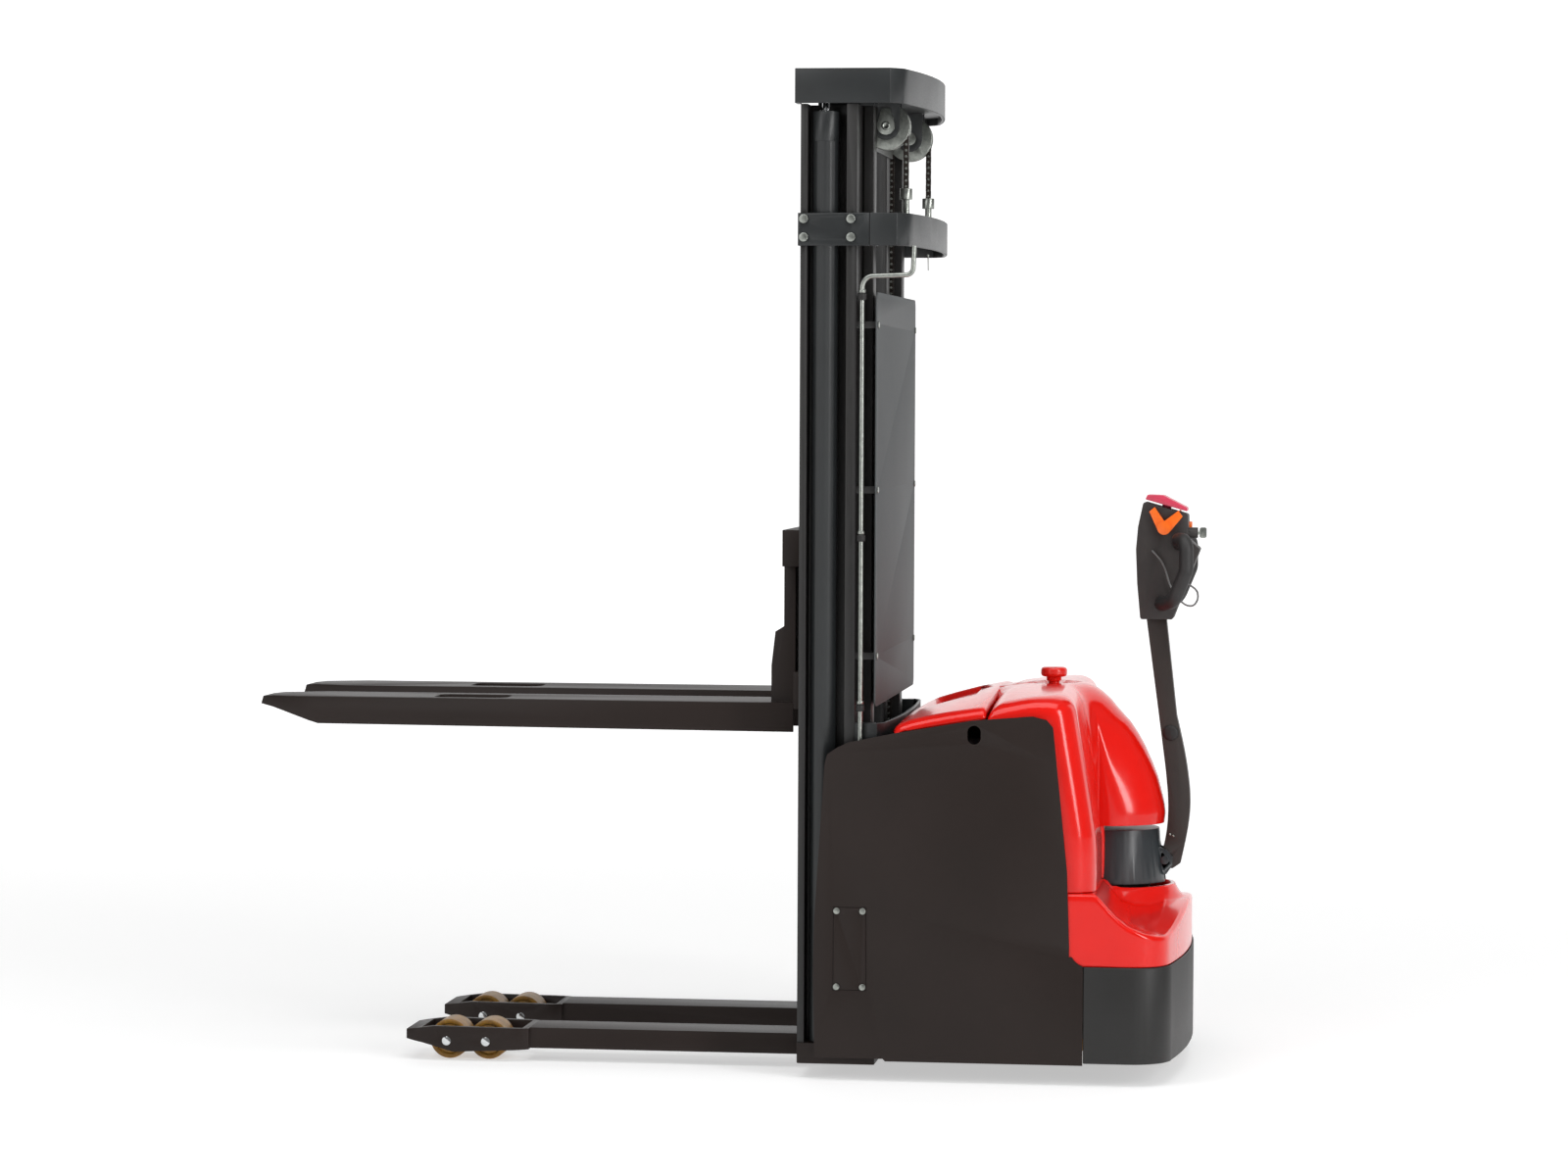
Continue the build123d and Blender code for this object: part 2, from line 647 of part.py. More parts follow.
def pulley_keepers():
    """Pulley pins with the drop-shaped keeper plates that lock them."""
    pins = []
    for side in (-1, 1):
        reach = pulley_width / 2 + 7
        low, high = sorted((side * (pulley_y - reach), side * (pulley_y + reach)))
        pin = rod_y(pulley_x, pulley_z, pulley_pin, low, high)
        face = side * (pulley_y + reach)
        low, high = sorted((face, face + side * 5))
        keeper = rod_y(pulley_x, pulley_z, keeper_radius, low, high)
        keeper += side_polygon([(pulley_x - keeper_radius + 1, pulley_z + 6), (pulley_x - 9, pulley_z + 36),
                                (pulley_x + 9, pulley_z + 36), (pulley_x + keeper_radius - 1, pulley_z + 6)],
                               low, high)
        pins.append(pin + keeper)
    return group(pins)


def chain_pulleys():
    """The two coaxial chain wheels."""
    wheels = []
    for side in (-1, 1):
        low, high = side * pulley_y - pulley_width / 2, side * pulley_y + pulley_width / 2
        wheel = rod_y(pulley_x, pulley_z, pulley_radius, low, high)
        groove = rod_y(pulley_x, pulley_z, pulley_radius + 1, low + 5, high - 5)
        groove -= rod_y(pulley_x, pulley_z, pulley_pitch - chain_thick / 2 - 0.5, low, high)
        wheel -= groove
        wheels.append(wheel - rod_y(pulley_x, pulley_z, pulley_pin + running_fit, low - 1, high + 1))
    return group(wheels)


def roller_set(x, web_y, outer_y, radius, zs, stub):
    """Rollers on stub axles that stand out of a web, left and right."""
    rollers = []
    for z in zs:
        roller = rod_y(x, z, radius, outer_y - 24, outer_y)
        roller += rod_y(x, z, stub, web_y, outer_y - 24)
        rollers += list(pair(roller).solids())
    return Compound(rollers)


def middle_mast_rollers():
    x = mast_front + (flange_front + rail_depth - flange_rear) / 2
    return roller_set(x, middle_web_y + rail_web, outer_web_y - slack, 38, (150, 420), 13)


def chain_runs(x, z0, z1, y, width):
    return pair(block(x - chain_thick / 2, x + chain_thick / 2, y - width / 2, y + width / 2, z0, z1))


def chain_loop(x, z, pitch, y, width):
    """Half ring of chain over a wheel."""
    ring = rod_y(x, z, pitch + chain_thick / 2, y - width / 2, y + width / 2)
    ring -= rod_y(x, z, pitch - chain_thick / 2, y - width, y + width)
    return pair(ring & block(x - 200, x + 200, y - width, y + width, z, z + 200))


lug_top = 170.0


def mast_chain_front_runs():
    """Moving side of the mast chains: over the wheels and down to the foot of the inner mast."""
    loops = chain_loop(pulley_x, pulley_z, pulley_pitch, pulley_y, chain_width)
    runs = chain_runs(pulley_x - pulley_pitch, lug_top, pulley_z, pulley_y, chain_width)
    return group([Compound(list(loops.solids())[i:i + 1]) + Compound(list(runs.solids())[i:i + 1]) for i in (0, 1)])


def mast_chain_rear_runs():
    return chain_runs(anchor_x, collar_top + 56, pulley_z - 0.5, pulley_y, chain_width)


# ---- inner mast and free lift --------------------------------------------------------------

def inner_mast():
    """Inner rails with their ties, the seat of the free-lift cylinder and the lugs of the mast chains."""
    web = block(inner_front, inner_rear, inner_web_y, inner_web_y + inner_web, inner_bottom, inner_top)
    ahead = block(inner_front, inner_front + inner_flange, inner_flange_in, inner_web_y + inner_web,
                  inner_bottom, inner_top)
    behind = block(inner_rear - inner_flange, inner_rear, inner_flange_in, inner_web_y + inner_web,
                   inner_bottom, inner_top)
    rail = web + ahead + behind
    half = inner_web_y + inner_web
    mast = rail + other_side(rail)
    for z in (inner_bottom, free_seat_top - 60, inner_top - 60):
        mast += block(inner_rear, inner_rear + 6, -half, half, z, z + 60)
    mast += block(free_x - 34, inner_rear + 6, -34, 34, inner_bottom, free_barrel_bottom)
    yoke = block(free_x - 34, inner_rear + 6, -34, 34, free_seat_top - 30, free_seat_top)
    yoke -= rod_z(free_x, 0, free_radius, free_seat_top - 31, free_seat_top + 1)
    mast += yoke
    run_x = pulley_x - pulley_pitch
    for side in (-1, 1):
        low, high = sorted((side * half, side * (pulley_y + chain_width / 2 + 2)))
        mast += block(run_x - 14, inner_rear + 6, low, high, inner_bottom + 20, lug_top)
        low, high = sorted((side * (sheave_y - 10), side * (sheave_y + 10)))
        mast += block(free_x + sheave_pitch - 8, inner_rear + 1, low, high, free_seat_top - 30, free_seat_top)
    return mast


def inner_mast_rollers():
    x = middle_front + (flange_front + rail_depth - flange_rear) / 2
    return roller_set(x, inner_web_y + inner_web, middle_web_y - slack, 39, (150, 420), 13)


def free_lift_barrel():
    tube = rod_z(free_x, 0, free_radius, free_barrel_bottom, free_barrel_top)
    tube -= rod_z(free_x, 0, free_bore, free_barrel_bottom + 14, free_barrel_top - 45)
    return tube - rod_z(free_x, 0, free_rod + rod_fit, free_barrel_top - 50, free_barrel_top + 1)


def free_lift_chain_rear_runs():
    return chain_runs(free_x + sheave_pitch, free_seat_top, crosshead_z - 0.5, sheave_y, chain_width - 2)


def crosshead():
    """Free-lift rod, with the yoke and the pin that carry the two chain wheels."""
    rod = rod_z(free_x, 0, free_rod, 480, crosshead_z - 30)
    rod += rod_z(free_x, 0, free_bore - rod_fit, 480, 520)
    yoke = block(free_x - 24, free_x + 24, -42, 42, crosshead_z - 30, crosshead_z + 22)
    return rod + yoke + rod_y(free_x, crosshead_z, 12, -88, 88)


def free_lift_sheaves():
    wheels = []
    for side in (-1, 1):
        low, high = side * sheave_y - sheave_width / 2, side * sheave_y + sheave_width / 2
        wheel = rod_y(free_x, crosshead_z, sheave_pitch + 6, low, high)
        groove = rod_y(free_x, crosshead_z, sheave_pitch + 7, low + 3, high - 3)
        groove -= rod_y(free_x, crosshead_z, sheave_pitch - chain_thick / 2 - 0.5, low, high)
        wheels.append(wheel - groove - rod_y(free_x, crosshead_z, 12 + running_fit, low - 1, high + 1))
    return group(wheels)


def free_lift_chain_front_runs():
    loops = chain_loop(free_x, crosshead_z, sheave_pitch, sheave_y, chain_width - 2)
    runs = chain_runs(free_x - sheave_pitch, carriage_lug_z, crosshead_z, sheave_y, chain_width - 2)
    return group([Compound(list(loops.solids())[i:i + 1]) + Compound(list(runs.solids())[i:i + 1]) for i in (0, 1)])


# ---- carriage and forks --------------------------------------------------------------------

carriage_bar = 16.0
carriage_lug_z = 900.0
upright_in = 122.0
upright_out = 146.0


def carriage_frame():
    back = carriage_front + carriage_bar
    reach = fork_centre + fork_width / 2
    frame = block(carriage_front - 24, back, -reach, reach, 1037, 1112)
    frame += block(carriage_front, back, -reach, reach, 745, 820)
    frame += block(back - 1, back + 14, -upright_out, upright_out, 850, carriage_lug_z)
    for side in (-1, 1):
        low, high = sorted((side * upright_in, side * upright_out))
        frame += block(back - 1, inner_rear - 4, low, high, 747, 1100)
        low, high = sorted((side * (sheave_y - 10), side * (sheave_y + 10)))
        frame += block(back, free_x - sheave_pitch + 9, low, high, 870, carriage_lug_z)
    return frame


def carriage_rollers():
    x = (inner_front + inner_rear) / 2
    radius = inner_depth / 2 - inner_flange - 0.5
    return roller_set(x, upright_out, inner_web_y - 2, radius, (800, 1050), 11)


def fork():
    """Left fork: an inverted channel that nests over the outrigger, with its heel and shank."""
    tip = fork_face - fork_length
    low = fork_top - fork_thick
    y0, y1 = fork_centre - fork_width / 2, fork_centre + fork_width / 2
    profile = side_polygon([(tip, fork_top - 18), (tip + 5, fork_top - 2), (tip + 28, fork_top), (carriage_front, fork_top),
                            (carriage_front, low - 2), (tip + 132, low + 3), (tip + 28, fork_top - 24)], y0, y1)
    plan = plan_polygon([(tip, fork_centre - 46), (tip, fork_centre + 46), (tip + 112, y1), (carriage_front, y1),
                         (carriage_front, y0), (tip + 112, y0)], low - 10, fork_top + 10)
    blade = profile & plan
    blade -= block(tip + 120, carriage_front + 1, y0 + fork_wall, y1 - fork_wall, low - 20, fork_top - fork_wall)
    slot = Pos(-wheelbase, fork_centre, fork_top - fork_wall - 1) * extrude(RectangleRounded(156, 96, 24),
                                                                          fork_wall + 2)
    blade -= slot
    heel = side_polygon([(fork_face, fork_top - 1), (fork_face, 832), (fork_face + 8, 902), (carriage_front - 24, 913),
                         (carriage_front - 24, 1036), (carriage_front, 1036), (carriage_front, fork_top - 1)],
                        fork_centre - 60, fork_centre + 60)
    return blade + heel


# ---- drive unit ----------------------------------------------------------------------------

def drive_gearbox():
    box = block(-58, 58, 46, 104, 62, 246) + rod_z(0, 0, motor_radius + 8, 244, 274)
    box += rod_y(0, drive_wheel_radius, 52, 46, 112)
    return box + rod_y(0, drive_wheel_radius, 24, -46, 47)


def traction_motor():
    body = rod_z(0, 0, motor_radius, 274, cone_top - 5)
    for z in (300, 330, 360, 390, 420, 450):
        body -= rod_z(0, 0, motor_radius + 1, z, z + 6) - rod_z(0, 0, motor_radius - 4, z - 1, z + 7)
    return body


def steering_cone():
    """Turning cover over the motor, its clevis for the tiller, and the pivot pin."""
    wall = 4.0
    outer = Pos(0, 0, cone_bottom + (cone_top - cone_bottom) / 2) * Cone(cone_radius_bottom, cone_radius_top,
                                                                     cone_top - cone_bottom)
    inner = Pos(0, 0, cone_bottom + (cone_top - cone_bottom) / 2 - 5) * Cone(cone_radius_bottom - wall,
                                                                         cone_radius_top - wall,
                                                                         cone_top - cone_bottom)
    cover = outer - inner
    cover -= block(96, 140, -arm_width / 2 - 2, arm_width / 2 + 2, 370, 500)
    ear_outline = [(86, 384), (86, 452), (112, 442), (124, 428), (124, 410), (112, 392)]
    ears = side_polygon(ear_outline, arm_width / 2 + 1, arm_width / 2 + 9)
    ears += other_side(ears)
    cover += ears + block(82, 89.5, -arm_width / 2 - 9, arm_width / 2 + 9, 384, 452)
    cover -= rod_y(pivot_x, pivot_z, pivot_radius, -60, 60)
    pin = rod_y(pivot_x, pivot_z, pivot_radius, -arm_width / 2 - 9, arm_width / 2 + 9)
    for side in (-1, 1):
        pin += rod_y(pivot_x, pivot_z, 9, *sorted((side * (arm_width / 2 + 9), side * (arm_width / 2 + 14))))
    return group([cover, pin])


def drive_wheel_hub():
    half = drive_wheel_width / 2 - 2
    radius = drive_wheel_radius - drive_tread
    hub = rod_y(0, drive_wheel_radius, radius, -half, half)
    hub -= rod_y(0, drive_wheel_radius, radius - 14, -half - 1, -half + 14)
    hub += rod_y(0, drive_wheel_radius, 46, -half, 0)
    for k in range(5):
        angle = math.radians(72 * k)
        x, z = 34 * math.cos(angle), drive_wheel_radius + 34 * math.sin(angle)
        hub += rod_y(x, z, 6, -half - 5, -half + 1)
    return hub - rod_y(0, drive_wheel_radius, 24 + running_fit, -half - 10, half + 1)


def drive_wheel_tread():
    half = drive_wheel_width / 2
    tread = rod_y(0, drive_wheel_radius, drive_wheel_radius, -half, half)
    tread -= rod_y(0, drive_wheel_radius, drive_wheel_radius - drive_tread, -half - 1, half + 1)
    return fillet(tread.edges().filter_by(GeomType.CIRCLE).group_by(SortBy.RADIUS)[-1], 8)


# ---- tiller --------------------------------------------------------------------------------

def tiller_arm():
    half = arm_width / 2
    lower = Spline((104, 446), (113, 500), (113, 560), (99, 681))
    upper = Polyline((99, 681), (66, head_bottom), (107, head_bottom), (130, 723))
    back = Spline((130, 723), (156, 590), (159, 531), (149, 456), (140, 414))
    foot = Polyline((140, 414), (124, 403), (104, 404), (98, 414), (100, 430), (104, 446))
    arm = side_shape(lower + upper + back + foot, -half, half)
    return arm - rod_y(pivot_x, pivot_z, pivot_radius + running_fit, -half - 1, half + 1)


head_outline = [(54, head_bottom), (47, 1000), (44, 1071), (48, 1118), (59, 1170), (151, 1144), (153, 1092),
                (177, 1072), (121, head_bottom)]
head_half = 45.0
knob_x, knob_z = 103.0, 1116.0
key_y, key_z = -28.0, 1106.0
cap_tilt = math.degrees(math.atan2(26, 92))
cap_centre = (105.0, 1157.0)
cap_travel = 5.0


def tiller_head():
    """Control head: the moulded housing with its key switch barrel."""
    head = side_polygon(head_outline, -head_half, head_half)
    head = fillet(head.edges().filter_by(Axis.Y), 5)
    head -= rod_y(knob_x, knob_z, 8 + 0.3, -60, 60)
    head -= cap_place() * rod_z(0, 0, 10.4, -30, 10)
    head -= rod_x(20, horn_z, horn_radius + 0.4, 130, 180)
    head += rod_x(key_y, key_z, 11, 140, 172)
    head -= rod_x(key_y, key_z, 4 + 0.3, 160, 180)
    return head


horn_z = 1120.0
horn_radius = 8.0


def cap_place():
    """Frame of the belly switch: Z points out of the sloping top of the head."""
    return Pos(cap_centre[0], 0, cap_centre[1]) * Rot(0, cap_tilt, 0)


def belly_switch():
    cap = side_polygon([(-46, cap_travel + 0.5), (-44, 16), (-12, 24), (42, 13), (46, cap_travel + 0.5)], -38, 38)
    cap = fillet(cap.edges().filter_by(Axis.Y), 2)
    return cap_place() * (cap + rod_z(0, 0, 10, -16, cap_travel + 2))


def butterfly_knob():
    """Travel control: a shaft through the head with a two-eared knob on each end."""
    shaft = rod_y(knob_x, knob_z, 8, -head_half - 4, head_half + 4)
    ear = side_polygon([(knob_x - 12, knob_z - 8), (knob_x - 31, knob_z + 34), (knob_x - 20, knob_z + 43),
                        (knob_x, knob_z + 14), (knob_x + 29, knob_z + 36), (knob_x + 38, knob_z + 24),
                        (knob_x + 12, knob_z - 8)], head_half + 1, head_half + 15)
    hub = rod_y(knob_x, knob_z, 14, head_half + 1, head_half + 20)
    return shaft + ear + hub + other_side(ear + hub)


def tiller_grips():
    """Looped hand grips either side of the head."""
    y = head_half
    route = FilletPolyline((134, y - 3, 1084), (134, y + 36, 1092), (152, 116, 1092), (152, 116, 1030), (126, 104, 966),
                           (104, y + 22, 958), (98, y - 3, 958), radius=(24, 22, 30, 26, 18))
    grip = sweep(Plane(route @ 0, z_dir=route % 0) * Circle(15), path=route)
    grip -= block(0, 300, -head_half, head_half, 900, 1200)
    return pair(max(grip.solids(), key=lambda solid: solid.volume))


def horn_button():
    return rod_x(20, horn_z, horn_radius, 146, 158)


def ignition_key():
    blade = rod_x(key_y, key_z, 4, 162, 176)
    bow = block(175.5, 190, key_y - 1.5, key_y + 1.5, key_z - 11, key_z + 11)
    return blade + fillet(bow.edges().filter_by(Axis.Y), 4)


lead_points = [(78, -46, 1068), (84, -53, 1062), (99, -56, 1046), (108, -54, 1024), (114, -55, 1000),
               (128, -56, 976), (146, -58, 956), (166, -58, 953), (176, -56, 972), (170, -54, 992), (150, -46, 1000)]
lead_radius = 2.0


def corner_radii(points):
    """Largest arc that two neighbouring runs leave room for, at each inner point of a route."""
    radii = []
    for before, here, after in zip(points, points[1:], points[2:]):
        a, b = Vector(*here) - Vector(*before), Vector(*after) - Vector(*here)
        turn = math.radians(a.get_angle(b))
        radii.append(0.45 * min(a.length, b.length) / math.tan(turn / 2))
    return radii


def head_lead():
    """Thin control lead that loops out of the head's side and back in."""
    radii = corner_radii(lead_points)
    print("head_lead radii", [round(radius, 1) for radius in radii])
    route = FilletPolyline(*lead_points, radius=radii)
    tube = sweep(Plane(route @ 0, z_dir=route % 0) * Circle(lead_radius), path=route)
    print("head_lead length", round(route.length, 1), "volume ratio",
          round(tube.volume / (math.pi * lead_radius ** 2 * route.length), 4))
    return tube


# ---- assembly ------------------------------------------------------------------------------

def stacker():
    panel = side_panel()
    leg = outrigger()
    blade = fork()
    nodes = {
        "chassis_frame": chassis_frame(), "side_panel_right": panel, "side_panel_left": other_side(panel),
        "cover_screws": cover_screws(), "rear_apron": rear_apron(), "lower_cover": lower_cover(), "hood": hood(),
        "battery": battery(), "hydraulic_power_pack": hydraulic_power_pack(), "slewing_bearing": slewing_bearing(),
        "outrigger_left": leg, "outrigger_right": other_side(leg), "load_wheel_axles": load_wheel_axles(),
        "outer_rails": outer_rails(), "mast_collar": mast_collar(), "lower_mast_tie": lower_mast_tie(),
        "cylinder_clamps": cylinder_clamps(), "collar_bolts": collar_bolts(),
        "lift_cylinder_barrels": lift_cylinder_barrels(), "mast_guard": mast_guard(),
        "chain_anchors": chain_anchors(), "hydraulic_pipe": hydraulic_pipe(),
        "mast_chain_rear_runs": mast_chain_rear_runs(),
        "middle_mast": middle_mast(), "top_beam": top_beam(), "lift_cylinder_rods": lift_cylinder_rods(),
        "pulley_keepers": pulley_keepers(), "middle_mast_rollers": middle_mast_rollers(),
        "mast_chain_front_runs": mast_chain_front_runs(), "chain_pulleys": chain_pulleys(),
        "inner_mast": inner_mast(), "inner_mast_rollers": inner_mast_rollers(), "free_lift_barrel": free_lift_barrel(),
        "free_lift_chain_rear_runs": free_lift_chain_rear_runs(), "crosshead": crosshead(),
        "free_lift_chain_front_runs": free_lift_chain_front_runs(), "free_lift_sheaves": free_lift_sheaves(),
        "carriage_frame": carriage_frame(), "carriage_rollers": carriage_rollers(),
        "fork_left": blade, "fork_right": other_side(blade),
        "drive_gearbox": drive_gearbox(), "traction_motor": traction_motor(), "steering_cone": steering_cone(),
        "drive_wheel_hub": drive_wheel_hub(), "drive_wheel_tread": drive_wheel_tread(),
        "tiller_arm": tiller_arm(), "tiller_head": tiller_head(), "tiller_grips": tiller_grips(),
        "belly_switch": belly_switch(), "butterfly_knob": butterfly_knob(), "horn_button": horn_button(),
        "ignition_key": ignition_key(), "head_lead": head_lead(), "front_lid": front_lid(),
        "estop_button": estop_button(),
    }
    for side, word in ((1, "left"), (-1, "right")):
        for x, place in zip(load_axle_xs, ("front", "rear")):
            nodes["load_wheel_" + word + "_" + place] = load_wheel(x, side)
    return nodes


def export(nodes):
    front = fork_face - fork_length
    rear = max(shape.bounding_box().max.X for shape in nodes.values())
    to_middle = Location((-(front + rear) / 2, 0, 0))
    print("shift to the middle", round(-(front + rear) / 2, 3), "nodes", len(nodes))
    os.makedirs("parts", exist_ok=True)
    for name, shape in nodes.items():
        solids = [solid.moved(to_middle) for solid in shape.solids()]
        export_step(solids[0] if len(solids) == 1 else Compound(solids), "parts/" + name + ".step")


if __name__ == "__main__":
    export(stacker())
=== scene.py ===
import bpy
import bmesh
import json
import math
import numpy as np
from mathutils import Matrix, Vector

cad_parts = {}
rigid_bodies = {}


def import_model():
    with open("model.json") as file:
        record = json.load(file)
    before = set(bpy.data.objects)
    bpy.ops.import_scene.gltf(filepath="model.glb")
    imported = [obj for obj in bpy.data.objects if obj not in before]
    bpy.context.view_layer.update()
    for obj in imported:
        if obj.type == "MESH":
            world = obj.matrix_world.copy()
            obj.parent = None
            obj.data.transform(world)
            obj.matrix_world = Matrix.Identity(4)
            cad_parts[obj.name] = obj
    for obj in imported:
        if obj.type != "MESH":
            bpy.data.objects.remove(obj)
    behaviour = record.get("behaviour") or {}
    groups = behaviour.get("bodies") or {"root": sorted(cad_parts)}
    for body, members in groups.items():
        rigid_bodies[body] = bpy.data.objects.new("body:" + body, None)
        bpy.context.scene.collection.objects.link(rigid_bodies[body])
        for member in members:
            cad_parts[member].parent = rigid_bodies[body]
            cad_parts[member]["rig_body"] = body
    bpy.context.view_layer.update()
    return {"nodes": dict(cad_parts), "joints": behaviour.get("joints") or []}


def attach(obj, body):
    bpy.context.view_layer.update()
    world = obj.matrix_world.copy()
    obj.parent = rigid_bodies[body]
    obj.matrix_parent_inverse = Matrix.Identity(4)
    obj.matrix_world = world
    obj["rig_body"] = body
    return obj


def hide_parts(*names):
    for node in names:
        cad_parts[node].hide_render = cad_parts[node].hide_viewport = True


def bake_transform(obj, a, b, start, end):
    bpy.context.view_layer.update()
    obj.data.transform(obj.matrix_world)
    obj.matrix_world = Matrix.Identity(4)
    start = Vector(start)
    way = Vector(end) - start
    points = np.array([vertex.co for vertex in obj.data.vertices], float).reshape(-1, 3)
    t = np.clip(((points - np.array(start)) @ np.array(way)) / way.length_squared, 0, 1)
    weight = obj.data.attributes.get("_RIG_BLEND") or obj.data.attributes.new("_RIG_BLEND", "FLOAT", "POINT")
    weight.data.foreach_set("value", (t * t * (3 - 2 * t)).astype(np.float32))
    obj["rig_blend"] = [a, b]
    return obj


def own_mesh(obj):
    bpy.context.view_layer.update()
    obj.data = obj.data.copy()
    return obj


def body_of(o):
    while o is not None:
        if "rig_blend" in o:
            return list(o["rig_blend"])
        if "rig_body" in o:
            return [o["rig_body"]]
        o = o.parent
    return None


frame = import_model()
joints = {joint["name"]: joint for joint in frame["joints"]}
steerX = joints["steering"]["pos_m"][0]
mm = 0.001


# A place measured in millimetres from the floor point under the steering axis.
def at(x, y, z):
    return Vector((steerX + x * mm, y * mm, z * mm))


# Lens in millimetres, angles in radians, place in millimetres.
view = {"x": 557.3, "y": -9584.9, "z": 1377.8, "turn": 0.1305, "tip": -0.041, "roll": 0.0042, "lens": 105.06}


def setCamera():
    turn, tip, roll = view["turn"], view["tip"], view["roll"]
    ahead = Vector((-math.sin(turn) * math.cos(tip), math.cos(turn) * math.cos(tip), math.sin(tip)))
    right = Vector((math.cos(turn), math.sin(turn), 0))
    up = right.cross(ahead)
    rolledRight = right * math.cos(roll) + up * math.sin(roll)
    rolledUp = up * math.cos(roll) - right * math.sin(roll)
    data = bpy.data.cameras.new("camera")
    data.lens, data.sensor_width, data.clip_end = view["lens"], 36, 100
    camera = bpy.data.objects.new("camera", data)
    bpy.context.scene.collection.objects.link(camera)
    pose = Matrix((rolledRight, rolledUp, -ahead)).transposed().to_4x4()
    pose.translation = at(view["x"], view["y"], view["z"])
    camera.matrix_world = pose
    bpy.context.scene.camera = camera


# An sRGB hex value as the linear colour that shaders take.
def colour(hexText):
    parts = [int(hexText[i:i + 2], 16) / 255 for i in (1, 3, 5)]
    linear = [p / 12.92 if p <= 0.04045 else ((p + 0.055) / 1.055) ** 2.4 for p in parts]
    return (*linear, 1.0)


def addNode(tree, kind, settings=None, values=None, links=None):
    node = tree.nodes.new(kind)
    for key, value in (settings or {}).items():
        setattr(node, key, value)
    for key, value in (values or {}).items():
        node.inputs[key].default_value = value
    for key, source in (links or {}).items():
        tree.links.new(source, node.inputs[key])
    return node


# A surface finish: two close colours mixed by slow mottling, grain that moves the roughness,
# and a fine bump. Sizes are in millimetres on the real thing.
def finish(name, spec):
    made = bpy.data.materials.new(name)
    made.use_nodes = True
    tree = made.node_tree
    shader = tree.nodes["Principled BSDF"]
    place = addNode(tree, "ShaderNodeTexCoord").outputs["Object"]
    stretch = spec.get("stretch", (1, 1, 1))
    mapped = addNode(tree, "ShaderNodeMapping", None, {"Scale": stretch}, {"Vector": place}).outputs["Vector"]
    mottle = addNode(tree, "ShaderNodeTexNoise", None,
                     {"Scale": 1000 / spec["mottleMm"], "Detail": 4, "Roughness": 0.55}, {"Vector": mapped})
    spread = addNode(tree, "ShaderNodeMapRange", None,
                     {"From Min": 0.3, "From Max": 0.7, "To Min": 0, "To Max": 1}, {"Value": mottle.outputs["Fac"]})
    tint = addNode(tree, "ShaderNodeMix", {"data_type": "RGBA"},
                   {"A": colour(spec["base"]), "B": colour(spec["other"])}, {"Factor": spread.outputs["Result"]})
    tree.links.new(tint.outputs["Result"], shader.inputs["Base Color"])
    grain = addNode(tree, "ShaderNodeTexNoise", None,
                    {"Scale": 1000 / spec["grainMm"], "Detail": 3, "Roughness": 0.6}, {"Vector": mapped})
    low, high = spec["roughness"]
    polish = addNode(tree, "ShaderNodeMapRange", None,
                     {"From Min": 0.25, "From Max": 0.75, "To Min": low, "To Max": high},
                     {"Value": grain.outputs["Fac"]})
    tree.links.new(polish.outputs["Result"], shader.inputs["Roughness"])
    bump = addNode(tree, "ShaderNodeBump", None,
                   {"Strength": spec.get("bump", 0.2), "Distance": spec.get("reliefMm", 0.1) * mm},
                   {"Height": grain.outputs["Fac"]})
    tree.links.new(bump.outputs["Normal"], shader.inputs["Normal"])
    for key, value in spec.get("shader", {}).items():
        shader.inputs[key].default_value = value
    return made


